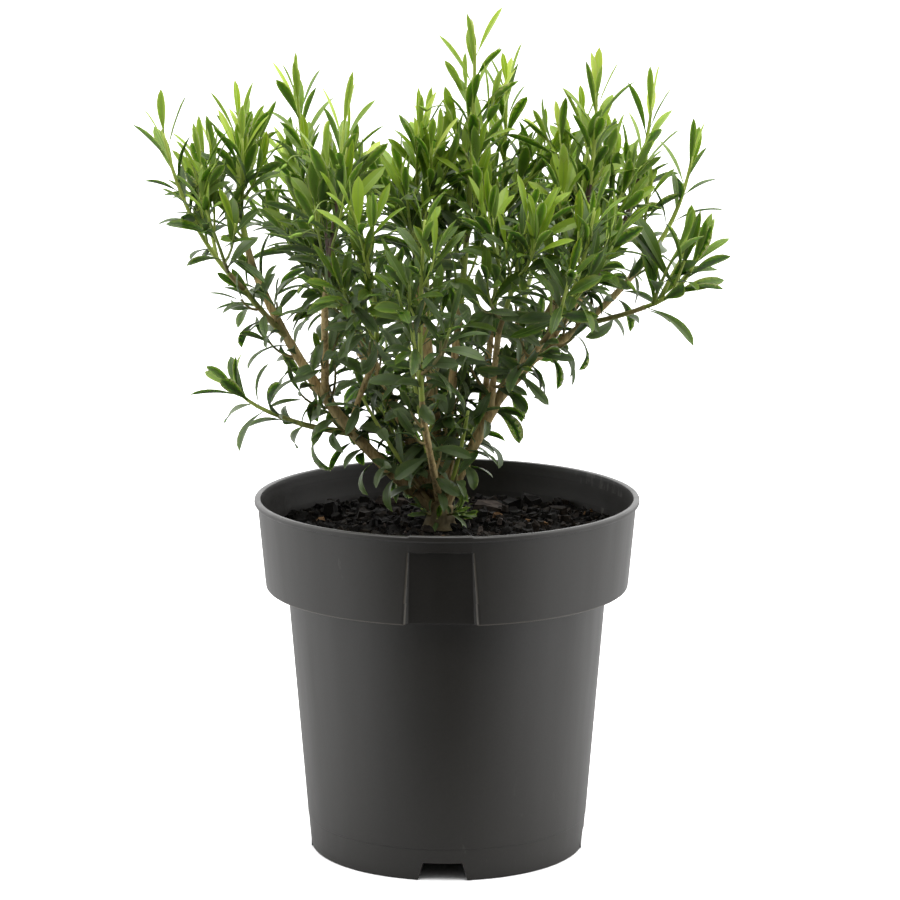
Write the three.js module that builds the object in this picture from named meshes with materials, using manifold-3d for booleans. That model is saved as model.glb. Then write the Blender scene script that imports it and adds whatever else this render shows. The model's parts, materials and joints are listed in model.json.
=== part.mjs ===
// Potted eremophila: a young shrub with many stems, in the round nursery pot it is sold in
// Millimetres, +Z up. The origin is the middle of the pot's flat underside, on the pot's axis.
// The label recess in the pot's collar faces -Y, turned a little towards -X.

import * as THREE from "three";
import { mergeVertices } from "three/addons/utils/BufferGeometryUtils.js";
import Module from "manifold-3d";

const wasm = await Module();
wasm.setup();

// Clearance that two touching pieces keep; edges under the fine size are closed up after a cut or join,
// and a join that still leaves one under the pinched size isn't made
const CLEARANCE = 0.3;
const FINE_EDGE = 0.03;
const PINCHED_EDGE = 0.0025;
const MERGE_DISTANCE = 1e-4;

// Pot, a tapered body under a wider tapered collar
const POT = {
  height: 186.6,
  wall: 1.5,
  floor: 2,
  footRadius: 71.9,
  shoulderRadius: 83.2,
  collarBottom: 139.7,
  collarBottomRadius: 94.7,
  collarTopRadius: 98.7,
  rimRadius: 100.4,
  rimHeight: 3,
  rimRound: 0.9,
  footRound: 1,
  sides: 40,
  turn: -1.8,
};

// Label recess, pressed into the front of the collar and wider at its foot
const RECESS = { topWidth: 33, footWidth: 40, top: 178.5, depth: 2.5 };

// Drainage channels, pressed up into the floor, each with one hole
const CHANNEL = {
  count: 4,
  footWidth: 26,
  topWidth: 20,
  height: 9.5,
  innerReach: 31,
  holeReach: 52,
  holeRadius: 5,
  holeSides: 12,
};

// Potting mix, mounded a little round the stem, with a bumpy top that is flat under the trunk
const MIX = {
  bottom: 1,
  wallLevel: 166.5,
  footLevel: 170,
  flatRadius: 13,
  bump: 1.5,
  rings: 5,
  sides: 20,
  seed: 7,
};

// Trunk, a short stump with a root flare, from its flat cut on the mix to its fork
const TRUNK = {
  x: -3.7,
  y: 0,
  foot: 170,
  rise: 13,
  leanX: 1.5,
  leanY: 0.6,
  footRadius: 7,
  topRadius: 5.8,
  flare: 3.5,
  flareRise: 2.5,
  lobes: 5,
  lobeDepth: 0.12,
  lobeFade: 4,
  sides: 12,
  rings: 7,
};

// Boughs: parent limb and the share of its length where the bough leaves it; the bough's tip as a turn
// in degrees from +X, a reach from the plant's foot and a rise above the mix; how far it climbs before
// it spreads (lift); its radius at foot and tip
const BOUGHS = [
  { name: "left", from: "trunk", at: 0.6, foot: 3.4, tip: 2,
    turn: 173.5, reach: 97, rise: 134, lift: -0.3 },
  { name: "right", from: "trunk", at: 0.7, foot: 3.5, tip: 2.1,
    turn: 0, reach: 52, rise: 106, lift: 0.06 },
  { name: "front", from: "trunk", at: 0.75, foot: 2, tip: 1.6,
    turn: -101, reach: 42, rise: 64, lift: -0.05 },
  { name: "back", from: "trunk", at: 0.7, foot: 2.6, tip: 1.9,
    turn: 97, reach: 36, rise: 72, lift: 0.05 },
  { name: "back_left", from: "trunk", at: 0.65, foot: 2.5, tip: 1.9,
    turn: 143, reach: 44, rise: 84, lift: 0.05 },
  { name: "centre", from: "trunk", at: 0.95, foot: 3, tip: 2.3,
    turn: 150, reach: 12, rise: 122, lift: 0.2 },
  { name: "top", from: "trunk", at: 0.9, foot: 2.5, tip: 2,
    turn: 25, reach: 10, rise: 102, lift: 0.1 },
  { name: "left_low", from: "left", at: 0.38, foot: 1.7, tip: 1.3,
    turn: 176, reach: 84, rise: 58, lift: -0.35 },
  { name: "left_front", from: "left", at: 0.53, foot: 2.1, tip: 1.7,
    turn: -154, reach: 65, rise: 124, lift: 0.1 },
  { name: "left_far", from: "left", at: 0.76, foot: 1.6, tip: 1.4,
    turn: -178, reach: 101, rise: 126, lift: -0.05 },
  { name: "front_left", from: "left", at: 0.4, foot: 1.6, tip: 1.4,
    turn: -154, reach: 37, rise: 92, lift: 0.1 },
  { name: "right_back", from: "right", at: 0.6, foot: 2.2, tip: 1.8,
    turn: 23, reach: 80, rise: 116, lift: -0.1 },
  { name: "right_front", from: "right", at: 0.52, foot: 1.8, tip: 1.5,
    turn: -41, reach: 40, rise: 108, lift: 0.1 },
  { name: "top_right", from: "right", at: 0.44, foot: 1.9, tip: 1.6,
    turn: 34, reach: 32, rise: 98, lift: 0.1 },
  { name: "right_mid", from: "right", at: 0.76, foot: 2.2, tip: 1.6,
    turn: 5.5, reach: 100, rise: 131, lift: -0.2 },
  { name: "right_low", from: "right_mid", at: 0.55, foot: 1.4, tip: 1.2,
    turn: -6, reach: 106, rise: 118, lift: -0.15 },
  { name: "front_right", from: "right", at: 0.68, foot: 1.6, tip: 1.4,
    turn: -36, reach: 64, rise: 104, lift: -0.1 },
  { name: "back_far_left", from: "back_left", at: 0.5, foot: 1.8, tip: 1.6,
    turn: 137, reach: 64, rise: 92, lift: 0 },
  { name: "back_far_right", from: "right_back", at: 0.35, foot: 1.8, tip: 1.6,
    turn: 50, reach: 64, rise: 100, lift: 0 },
  { name: "back_low", from: "back", at: 0.5, foot: 1.6, tip: 1.2,
    turn: 112, reach: 74, rise: 56, lift: -0.2 },
];

// Shoots: the leader that carries on from each bough's tip, its own tip, its number of side twigs and
// how far these spread
const SHOOTS = [
  { name: "left", turn: 168, reach: 106, rise: 206, twigs: 5, spread: 62 },
  { name: "right", turn: 0, reach: 80, rise: 224, twigs: 5, spread: 58 },
  { name: "front", turn: -95, reach: 84, rise: 170, twigs: 5, spread: 56 },
  { name: "back", turn: 95, reach: 94, rise: 196, twigs: 4, spread: 64 },
  { name: "back_left", turn: 152, reach: 84, rise: 220, twigs: 5, spread: 62 },
  { name: "centre", turn: 148, reach: 12, rise: 206, twigs: 5, spread: 58 },
  { name: "top", turn: 0, reach: 18, rise: 248, twigs: 5, spread: 60 },
  { name: "left_low", turn: 175.5, reach: 107, rise: 72, twigs: 0, spread: 34 },
  { name: "left_front", turn: -148, reach: 57, rise: 212, twigs: 4, spread: 56 },
  { name: "left_far", turn: -177.5, reach: 141, rise: 206, twigs: 4, spread: 46 },
  { name: "front_left", turn: -120, reach: 86, rise: 176, twigs: 5, spread: 56 },
  { name: "right_back", turn: 21, reach: 118, rise: 212, twigs: 4, spread: 56 },
  { name: "right_front", turn: -54, reach: 76, rise: 172, twigs: 4, spread: 54 },
  { name: "top_right", turn: 41, reach: 46, rise: 226, twigs: 4, spread: 60 },
  { name: "right_mid", turn: 5, reach: 130, rise: 190, twigs: 4, spread: 44 },
  { name: "right_low", turn: -8, reach: 130, rise: 139, twigs: 4, spread: 36 },
  { name: "front_right", turn: -42, reach: 103, rise: 174, twigs: 4, spread: 54 },
  { name: "back_far_left", turn: 136, reach: 112, rise: 188, twigs: 4, spread: 60 },
  { name: "back_far_right", turn: 52, reach: 110, rise: 188, twigs: 4, spread: 60 },
  { name: "back_low", turn: 112, reach: 106, rise: 84, twigs: 2, spread: 40 },
];

// Sprigs: short leafy shoots that rise straight from the trunk
const SPRIGS = [
  { name: "sprig_left", at: 0.5, turn: -164, reach: 40, rise: 68, twigs: 2, spread: 30, radius: 1.5 },
  { name: "sprig_front", at: 0.6, turn: -128, reach: 25, rise: 98, twigs: 2, spread: 24, radius: 1.5 },
  { name: "sprig_right", at: 0.5, turn: -50, reach: 22, rise: 62, twigs: 1, spread: 24, radius: 1.5 },
  { name: "sprig_back", at: 0.5, turn: 62, reach: 34, rise: 84, twigs: 3, spread: 34, radius: 1.5 },
  { name: "sprig_back_left", at: 0.45, turn: 150, reach: 40, rise: 76, twigs: 3, spread: 34, radius: 1.5 },
];
const SPRIG_BOW = 4;

// Furthest reach of side twigs from the plant's foot at each height, on the left and on the right, except
// on the low shoots
const ENVELOPE = [
  { height: 200, left: 45, right: 20 },
  { height: 230, left: 70, right: 36 },
  { height: 250, left: 82, right: 46 },
  { height: 268, left: 92, right: 68 },
  { height: 286, left: 100, right: 92 },
  { height: 305, left: 110, right: 114 },
  { height: 320, left: 118, right: 124 },
  { height: 335, left: 125, right: 116 },
  { height: 352, left: 130, right: 112 },
  { height: 370, left: 140, right: 120 },
];
const LOW_SHOOTS = ["left_low", "back_low", "right_low"];

// Boughs have five sides, the green stems of the shoots three
const BOUGH_SIDES = 5;
const BOUGH_RINGS = 5;
const STEM_SIDES = 3;

// Leader of a shoot: how far it runs on in its bough's line before it bends, and how upright it then is
const LEADER = { rings: 5, tipRadius: 1, bend: 0.45, upright: 0.4, age: 0.15 };

// Side twigs: where the first and last leave the leader, the angle they leave it at, how much shorter
// they are at its tip, and where and how they bend up beside it
const TWIG = {
  rings: 2,
  radius: 1.2,
  tipRadius: 0.8,
  first: 0.06,
  last: 0.56,
  angle: 48,
  angleTurn: 137.5,
  turnSpread: 30,
  shortening: 0.6,
  lengthSpread: 0.3,
  bend: 0.45,
  bendAlong: 0.55,
  bendUp: 0.5,
  age: 0.2,
  ageing: 0.5,
};

// Leaves, from the oldest near a stem's foot to the youngest at its tip, and the tuft at the tip;
// angle is from the stem, in degrees, and arch the rise of the middle as a share of the length
const OLD_LEAF = { length: 40, width: 11.5, thick: 1.1, angle: 68, arch: 0.15 };
const YOUNG_LEAF = { length: 38, width: 10, thick: 1, angle: 32, arch: 0.05 };
const TUFT_LEAF = { length: 28, width: 6.5, thick: 0.9, angle: 16, arch: 0.02 };
const LEAVES = {
  spacing: 13.5,
  fewest: 2,
  first: 0.06,
  last: 0.92,
  tuftFoot: 0.93,
  tuftStep: 0.02,
  tuftCount: 3,
  widest: 0.54,
  lengthSpread: 0.24,
  angleSpread: 16,
  faceSpread: 0.15,
  tries: 6,
  shortForm: 0.72,
};

// Space that a twig or leaf keeps from other shoots, limbs, the pot and the mix
const SHOOT_GAP = 0.6;
const LIMB_GAP = 1.6;
const RIM_GAP = 5;
const MIX_GAP = 4;
const LEADER_STEPS = 10;
const LIMB_STEPS = 40;
const FRAME_STEPS = 24;

// Colours
const BLACK_PLASTIC = { color: 0x3a3938, roughness: 0.5 };
const BARK_MIX = { color: 0x2a221c, roughness: 0.95 };
const BARK = { color: 0x6e5a40, roughness: 0.85 };
const LEAF_GREEN = { color: 0x4e7a2c, roughness: 0.55 };

const FOLIAGE_SEED = 101;
const UP = new THREE.Vector3(0, 0, 1);

// Repeatable draws between 0 and 1
function seededDraws(seed) {
  let state = seed >>> 0;
  return () => {
    state = (state + 0x6d2b79f5) >>> 0;
    let mixed = Math.imul(state ^ (state >>> 15), state | 1);
    mixed ^= mixed + Math.imul(mixed ^ (mixed >>> 7), mixed | 61);
    return ((mixed ^ (mixed >>> 14)) >>> 0) / 4294967296;
  };
}

// Value within a spread round a middle
function spreadRound(middle, spread, draw) {
  return middle + spread * (draw() - 0.5);
}

function mergedShape(geometry) {
  geometry.deleteAttribute("normal");
  geometry.deleteAttribute("uv");
  return mergeVertices(geometry, MERGE_DISTANCE);
}

// Closed geometry as a solid
function solidOf(geometry) {
  const merged = mergedShape(geometry);
  return new wasm.Manifold(new wasm.Mesh({
    numProp: 3,
    vertProperties: new Float32Array(merged.attributes.position.array),
    triVerts: new Uint32Array(merged.index.array),
  }));
}

function geometryOf(solid) {
  const mesh = solid.getMesh();
  const geometry = new THREE.BufferGeometry();
  geometry.setAttribute("position", new THREE.BufferAttribute(new Float32Array(mesh.vertProperties), 3));
  geometry.setIndex(new THREE.BufferAttribute(new Uint32Array(mesh.triVerts), 1));
  geometry.computeVertexNormals();
  return geometry;
}

function namedMesh(name, solid, look) {
  const material = new THREE.MeshStandardMaterial({ ...look, metalness: 0, flatShading: true });
  const mesh = new THREE.Mesh(geometryOf(solid), material);
  mesh.name = name;
  return mesh;
}

// The largest whole piece of a joined or cut solid, with no loose scrap and no sealed hollow
function largestPiece(solid) {
  const pieces = solid.decompose();
  return pieces.reduce((best, piece) => (piece.volume() > best.volume() ? piece : best))
    .simplify(FINE_EDGE);
}

function shortestEdge(solid) {
  const { numProp, triVerts, vertProperties } = solid.getMesh();
  const corner = (index) => new THREE.Vector3().fromArray(vertProperties, index * numProp);
  let shortest = Infinity;
  for (let i = 0; i < triVerts.length; i += 3) {
    const [a, b, c] = [corner(triVerts[i]), corner(triVerts[i + 1]), corner(triVerts[i + 2])];
    shortest = Math.min(shortest, a.distanceTo(b), b.distanceTo(c), c.distanceTo(a));
  }
  return shortest;
}

// Two solids as one, or null where their join would pinch to a tiny edge
function joined(whole, piece) {
  const both = whole.add(piece).simplify(FINE_EDGE);
  return shortestEdge(both) < PINCHED_EDGE ? null : both;
}

// Solid of revolution about +Z from [radius, height] points that start and end on the axis
function turned(points, sides) {
  const lathe = new THREE.LatheGeometry(points.map(([r, z]) => new THREE.Vector2(r, z)), sides);
  return solidOf(lathe.rotateX(Math.PI / 2));
}

// Copies of a solid, evenly turned about the pot's axis from its own turn, as one solid
function ringOf(solid, count) {
  let all = solid.rotate([0, 0, POT.turn]);
  for (let k = 1; k < count; k += 1) {
    all = all.add(solid.rotate([0, 0, POT.turn + (360 / count) * k]));
  }
  return all;
}

// Bar of trapezoid section that runs along -Y, from a start over a length
function trapezoidBar(footWidth, topWidth, bottom, top, start, length) {
  const outline = new THREE.Shape();
  outline.moveTo(-footWidth / 2, bottom);
  outline.lineTo(footWidth / 2, bottom);
  outline.lineTo(topWidth / 2, top);
  outline.lineTo(-topWidth / 2, top);
  outline.closePath();
  const bar = new THREE.ExtrudeGeometry(outline, { depth: length, bevelEnabled: false });
  return solidOf(bar.rotateX(Math.PI / 2).translate(0, -start, 0));
}

// Outside of the pot, its sides drawn in by an inset
function potOutside(inset) {
  const p = POT;
  const rimFoot = p.height - p.rimHeight;
  return turned([
    [0, 0],
    [p.footRadius - p.footRound - inset, 0],
    [p.footRadius - inset, p.footRound],
    [p.shoulderRadius - inset, p.collarBottom],
    [p.collarBottomRadius - p.footRound - inset, p.collarBottom],
    [p.collarBottomRadius - inset, p.collarBottom + p.footRound],
    [p.collarTopRadius - inset, rimFoot],
    [p.rimRadius - inset, rimFoot + p.rimRound],
    [p.rimRadius - inset, p.height - p.rimRound],
    [p.rimRadius - p.rimRound - inset, p.height],
    [0, p.height],
  ], p.sides);
}

// Space inside the pot, drawn in by a gap on every side
function potInside(gap, sides) {
  const p = POT;
  const thick = p.wall + gap;
  const ledge = p.collarBottom + thick;
  const above = p.height + 1;
  return turned([
    [0, p.floor + gap],
    [p.footRadius - thick, p.floor + gap],
    [p.shoulderRadius - thick, ledge],
    [p.collarBottomRadius - thick, ledge],
    [p.collarTopRadius - thick, p.height - p.rimRound],
    [p.collarTopRadius - thick + p.rimRound, above],
    [0, above],
  ], sides);
}

// Space of the label recess, grown by a margin
function recessSpace(margin) {
  const r = RECESS;
  const below = POT.collarBottom - 1 - margin;
  const bar = trapezoidBar(
    r.footWidth + 2 * margin, r.topWidth + 2 * margin, below, r.top + margin,
    POT.shoulderRadius, POT.rimRadius - POT.shoulderRadius + 10);
  return bar.rotate([0, 0, POT.turn]).subtract(potOutside(r.depth + margin));
}

// Space of the drainage channels, grown by a margin
function channelSpace(margin) {
  const c = CHANNEL;
  const bar = trapezoidBar(
    c.footWidth + 2 * margin, c.topWidth + 2 * margin, -1, c.height + margin,
    c.innerReach - margin, POT.footRadius);
  return ringOf(bar, c.count);
}

function drainHoles() {
  const c = CHANNEL;
  const drill = new THREE.CylinderGeometry(c.holeRadius, c.holeRadius, c.height, c.holeSides);
  return ringOf(solidOf(drill.rotateX(Math.PI / 2).translate(0, -c.holeReach, c.height)), c.count);
}

function makePot() {
  const inside = potInside(0, POT.sides)
    .subtract(recessSpace(POT.wall)).subtract(channelSpace(POT.wall));
  return potOutside(0).subtract(recessSpace(0)).subtract(channelSpace(0)).subtract(inside)
    .subtract(drainHoles());
}

// Potting mix: the inside of the pot up to its bumpy top
function makeMix() {
  const m = MIX;
  const flat = m.footLevel - CLEARANCE;
  const profile = [[0, m.bottom], [POT.rimRadius, m.bottom]];
  for (let k = 0; k < m.rings; k += 1) {
    const share = k / (m.rings - 1);
    profile.push([
      THREE.MathUtils.lerp(POT.rimRadius, m.flatRadius, share),
      THREE.MathUtils.lerp(m.wallLevel, flat, share),
    ]);
  }
  profile.push([0, flat]);
  const turnedTop = new THREE.LatheGeometry(profile.map(([r, z]) => new THREE.Vector2(r, z)), m.sides);
  const ground = mergedShape(turnedTop.rotateX(Math.PI / 2));
  const draw = seededDraws(m.seed);
  const place = ground.attributes.position;
  for (let i = 0; i < place.count; i += 1) {
    const reach = Math.hypot(place.getX(i), place.getY(i));
    if (place.getZ(i) > m.bottom + 1 && reach > m.flatRadius + 1) {
      place.setZ(i, spreadRound(place.getZ(i), 2 * m.bump, draw));
    }
  }
  const taken = POT.wall + CLEARANCE;
  return potInside(CLEARANCE, m.sides).intersect(solidOf(ground)).subtract(recessSpace(taken))
    .subtract(channelSpace(taken));
}

// Closed cylinder bent along a curve, its radius given by the share of the length and the angle
function bentCylinder(curve, radiusAt, sides, rings) {
  const cylinder = new THREE.CylinderGeometry(1, 1, 1, sides, rings);
  const frames = curve.computeFrenetFrames(rings);
  const place = cylinder.attributes.position;
  for (let i = 0; i < place.count; i += 1) {
    const share = place.getY(i) + 0.5;
    const ring = Math.round(share * rings);
    const across = place.getX(i);
    const along = place.getZ(i);
    const radius = radiusAt(share, Math.atan2(along, across));
    const point = curve.getPointAt(share)
      .addScaledVector(frames.normals[ring], across * radius)
      .addScaledVector(frames.binormals[ring], -along * radius);
    place.setXYZ(i, point.x, point.y, point.z);
  }
  return solidOf(cylinder);
}

// Point given by a turn in degrees, a reach from the plant's foot and a rise above the mix
function placed({ turn, reach, rise }) {
  const angle = THREE.MathUtils.degToRad(turn);
  return new THREE.Vector3(
    TRUNK.x + reach * Math.cos(angle), TRUNK.y + reach * Math.sin(angle), TRUNK.foot + rise);
}

// Trunk: upright and a little leaning, with lobes where the roots leave it
function trunkLimb() {
  const t = TRUNK;
  const curve = new THREE.QuadraticBezierCurve3(
    new THREE.Vector3(t.x, t.y, t.foot),
    new THREE.Vector3(t.x, t.y, t.foot + t.rise / 2),
    new THREE.Vector3(t.x + t.leanX, t.y + t.leanY, t.foot + t.rise));
  const radiusAt = (share, angle = 0) => {
    const stem = THREE.MathUtils.lerp(t.footRadius, t.topRadius, share);
    const flare = t.flare * Math.exp(-share * t.rise / t.flareRise);
    const lobe = t.lobeDepth * Math.exp(-share * t.lobeFade) * Math.cos(t.lobes * angle);
    return (stem + flare) * (1 + lobe);
  };
  return { name: "trunk", curve, radiusAt, sides: t.sides, rings: t.rings };
}

function boughLimb(row, parent) {
  const start = parent.curve.getPointAt(row.at);
  const end = placed(row);
  const way = end.clone().sub(start);
  const out = (1 - row.lift) / 2;
  const climb = (1 + row.lift) / 2;
  const middle = start.clone().add(way.multiply(new THREE.Vector3(out, out, climb)));
  return {
    name: row.name,
    curve: new THREE.QuadraticBezierCurve3(start, middle, end),
    radiusAt: (share) => THREE.MathUtils.lerp(row.foot, row.tip, share),
    sides: BOUGH_SIDES,
    rings: BOUGH_RINGS,
  };
}

function limbSolid(limb, swell) {
  const radiusAt = (share, angle) => limb.radiusAt(share, angle) + swell;
  return bentCylinder(limb.curve, radiusAt, limb.sides, limb.rings);
}

// Leader of a shoot: it leaves its bough's tip in line, a clearance away, and bends to its own tip
function shootLeader(row, bough) {
  const heading = bough.curve.getTangentAt(1);
  const start = bough.curve.getPointAt(1).addScaledVector(heading, CLEARANCE);
  const end = placed(row);
  const middle = start.clone().addScaledVector(heading, start.distanceTo(end) * LEADER.bend);
  middle.x = THREE.MathUtils.lerp(middle.x, end.x, LEADER.upright);
  middle.y = THREE.MathUtils.lerp(middle.y, end.y, LEADER.upright);
  const curve = new THREE.QuadraticBezierCurve3(start, middle, end);
  return { ...row, curve, radius: bough.radiusAt(1) };
}

// Leader of a sprig: it starts inside the trunk, and is cut back to a clearance from its skin
function sprigLeader(row, trunk) {
  const angle = THREE.MathUtils.degToRad(row.turn);
  const start = trunk.curve.getPointAt(row.at);
  const end = placed(row);
  const middle = start.clone().lerp(end, 0.5);
  middle.x += SPRIG_BOW * Math.cos(angle);
  middle.y += SPRIG_BOW * Math.sin(angle);
  return { ...row, curve: new THREE.QuadraticBezierCurve3(start, middle, end) };
}

function distanceToLine(point, line) {
  const closest = new THREE.Vector3();
  let best = Infinity;
  for (let k = 1; k < line.length; k += 1) {
    new THREE.Line3(line[k - 1], line[k]).closestPointToPoint(point, true, closest);
    best = Math.min(best, closest.distanceTo(point));
  }
  return best;
}

// Whether a point lies in a shoot's own space, nearer its leader than any other, and clear of the
// limbs, the pot and the mix
function isFree(point, own, leaders, limbs) {
  if (point.z < MIX.footLevel + MIX_GAP) {
    return false;
  }
  const reach = Math.hypot(point.x, point.y);
  if (point.z < POT.height + RIM_GAP && reach > POT.collarBottomRadius - RIM_GAP) {
    return false;
  }
  const mine = distanceToLine(point, leaders.get(own));
  for (const [name, line] of leaders) {
    if (name !== own && distanceToLine(point, line) < mine + SHOOT_GAP) {
      return false;
    }
  }
  return limbs.every((stations) => stations.every((station) => (
    station.point.distanceTo(point) > station.radius + LIMB_GAP)));
}

// How far side twigs reach at a height, on the side named
function crownReach(height, side) {
  const above = ENVELOPE.findIndex((row) => row.height > height);
  if (above < 1) {
    return ENVELOPE.at(above)[side];
  }
  const [low, high] = [ENVELOPE[above - 1], ENVELOPE[above]];
  const share = (height - low.height) / (high.height - low.height);
  return THREE.MathUtils.lerp(low[side], high[side], share);
}

// Whether a point of a side twig lies inside the crown's outline
function isInCrown(point) {
  const across = point.x - TRUNK.x;
  const reach = Math.hypot(across, point.y - TRUNK.y);
  const rightward = (1 + across / reach) / 2;
  return reach < THREE.MathUtils.lerp(
    crownReach(point.z, "left"), crownReach(point.z, "right"), rightward);
}

// Direction at an angle to a stem, on the side given by a turn about it
function leaving(along, side, degrees) {
  const angle = THREE.MathUtils.degToRad(degrees);
  return along.clone().multiplyScalar(Math.cos(angle)).addScaledVector(side, Math.sin(angle));
}

// Side twig: it leaves the leader at an angle, and bends up until it runs beside it
function sideTwig(leader, share, turn, spread) {
  const start = leader.getPointAt(share);
  const along = leader.getTangentAt(share);
  const side = new THREE.Vector3().crossVectors(along, UP).normalize()
    .applyAxisAngle(along, THREE.MathUtils.degToRad(turn));
  const heading = leaving(along, side, TWIG.angle);
  const length = spread * (1 - TWIG.shortening * share);
  const middle = start.clone().addScaledVector(heading, length * TWIG.bend);
  const risen = heading.lerp(along, TWIG.bendAlong).addScaledVector(UP, TWIG.bendUp).normalize();
  const end = middle.clone().addScaledVector(risen, length * (1 - TWIG.bend));
  return new THREE.QuadraticBezierCurve3(start, middle, end);
}

// Corners of a leaf of 8 faces: an octahedron drawn out from the stem's middle to the leaf's tip
function leafCorners(root, heading, along, form) {
  const side = new THREE.Vector3().crossVectors(along, heading).normalize();
  const lift = new THREE.Vector3().crossVectors(heading, side).normalize();
  const corner = (share, across, up) => root.clone()
    .addScaledVector(heading, share * form.length)
    .addScaledVector(side, across * form.width)
    .addScaledVector(lift, up);
  const hump = form.arch * form.length;
  return {
    root: corner(0, 0, 0),
    tip: corner(1, 0, 0),
    left: corner(LEAVES.widest, -0.5, hump),
    right: corner(LEAVES.widest, 0.5, hump),
    over: corner(LEAVES.widest, 0, hump + form.thick / 2),
    under: corner(LEAVES.widest, 0, hump - form.thick / 2),
  };
}

function leafSolid(leaf) {
  const octahedron = new THREE.OctahedronGeometry(1, 0);
  const place = octahedron.attributes.position;
  for (let i = 0; i < place.count; i += 1) {
    const [x, y, z] = [place.getX(i), place.getY(i), place.getZ(i)].map(Math.round);
    let corner = x < 0 ? leaf.root : leaf.tip;
    if (y !== 0) {
      corner = y < 0 ? leaf.left : leaf.right;
    } else if (z !== 0) {
      corner = z < 0 ? leaf.under : leaf.over;
    }
    place.setXYZ(i, corner.x, corner.y, corner.z);
  }
  return solidOf(octahedron);
}

// Points spread over a leaf, past the part that lies inside its stem
function leafSamples(leaf) {
  const samples = [leaf.tip, leaf.left, leaf.right, leaf.over, leaf.under];
  for (const edge of [leaf.left, leaf.right, leaf.over]) {
    samples.push(leaf.root.clone().lerp(edge, 0.3), leaf.root.clone().lerp(edge, 0.65));
    samples.push(edge.clone().lerp(leaf.tip, 0.35), edge.clone().lerp(leaf.tip, 0.7));
  }
  return samples;
}

function blendForms(first, second, share) {
  return Object.fromEntries(Object.keys(first).map((key) => (
    [key, THREE.MathUtils.lerp(first[key], second[key], share)])));
}

// Leaf on one face of a stem, at a share of its length
function leafOn(curve, frames, share, face, form) {
  const turn = (0.5 + face) * 2 * Math.PI / STEM_SIDES;
  const frame = Math.round(share * FRAME_STEPS);
  const side = frames.normals[frame].clone().multiplyScalar(Math.sin(turn))
    .addScaledVector(frames.binormals[frame], -Math.cos(turn));
  const along = curve.getTangentAt(share);
  return leafCorners(curve.getPointAt(share), leaving(along, side, form.angle), along, form);
}

// Leaves up a stem, one from each of its faces in turn, ageing from its foot, with a tuft at its tip.
// A leaf without room tries the other faces, then a shorter form, and is left out if none is free.
function growLeaves(stem, draw, addLeaf) {
  const v = LEAVES;
  const frames = stem.curve.computeFrenetFrames(FRAME_STEPS);
  const count = Math.max(v.fewest, Math.floor(stem.curve.getLength() / v.spacing));
  const first = Math.floor(draw() * STEM_SIDES);
  for (let k = 0; k < count + v.tuftCount; k += 1) {
    const inTuft = k >= count;
    const even = THREE.MathUtils.lerp(v.first, v.last, spreadRound(k + 0.5, 0.4, draw) / count);
    const share = inTuft ? v.tuftFoot + v.tuftStep * (k - count) : even;
    const youth = THREE.MathUtils.lerp(stem.age, 1, share);
    const form = inTuft ? { ...TUFT_LEAF } : blendForms(OLD_LEAF, YOUNG_LEAF, youth);
    form.length *= spreadRound(1, v.lengthSpread, draw);
    form.angle = spreadRound(form.angle, v.angleSpread, draw);
    const face = spreadRound(first + k, v.faceSpread, draw);
    for (let attempt = 0; attempt < v.tries; attempt += 1) {
      const size = attempt < STEM_SIDES ? 1 : v.shortForm;
      const tried = { ...form, length: form.length * size, width: form.width * size };
      if (addLeaf(leafOn(stem.curve, frames, share, face + attempt, tried))) {
        break;
      }
    }
  }
}

// Leader and side twigs of a shoot; a twig that would leave the shoot's space or the crown is left out
function shootStems(shoot, draw, free) {
  const stems = [{ ...LEADER, curve: shoot.curve, radius: shoot.radius }];
  let turn = 360 * draw();
  for (let k = 0; k < shoot.twigs; k += 1) {
    const even = spreadRound(k + 0.5, 0.4, draw) / shoot.twigs;
    const share = THREE.MathUtils.lerp(TWIG.first, TWIG.last, even);
    turn += spreadRound(TWIG.angleTurn, TWIG.turnSpread, draw);
    const spread = shoot.spread * spreadRound(1, TWIG.lengthSpread, draw);
    const curve = sideTwig(shoot.curve, share, turn, spread);
    const points = curve.getSpacedPoints(LEADER_STEPS).slice(2);
    if (points.every(free) && (LOW_SHOOTS.includes(shoot.name) || points.every(isInCrown))) {
      stems.push({ ...TWIG, curve, age: TWIG.age + TWIG.ageing * share });
    }
  }
  return stems;
}

// One mass of foliage: leader, side twigs and leaves, fused into one solid and cut clear of the limbs
function foliageMass(shoot, seed, leaders, limbs, limbSpace) {
  const draw = seededDraws(seed);
  const free = (point) => isFree(point, shoot.name, leaders, limbs);
  let mass = null;
  let leaves = null;
  const addLeaf = (leaf) => {
    if (!leafSamples(leaf).every(free)) {
      return false;
    }
    const blade = leafSolid(leaf);
    if (leaves && !leaves.intersect(blade).isEmpty()) {
      return false;
    }
    const grown = joined(mass, blade);
    if (grown) {
      mass = grown;
      leaves = leaves ? leaves.add(blade) : blade;
    }
    return grown !== null;
  };
  for (const stem of shootStems(shoot, draw, free)) {
    const radiusAt = (share) => THREE.MathUtils.lerp(stem.radius, stem.tipRadius, share);
    const rod = bentCylinder(stem.curve, radiusAt, STEM_SIDES, stem.rings);
    mass = mass ? mass.add(rod) : rod;
    growLeaves(stem, draw, addLeaf);
  }
  return largestPiece(mass.subtract(limbSpace));
}

// Limbs by name; each is cut back to a clearance from those before it
function makeLimbs() {
  const limbs = new Map([["trunk", trunkLimb()]]);
  for (const row of BOUGHS) {
    limbs.set(row.name, boughLimb(row, limbs.get(row.from)));
  }
  return limbs;
}

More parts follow.
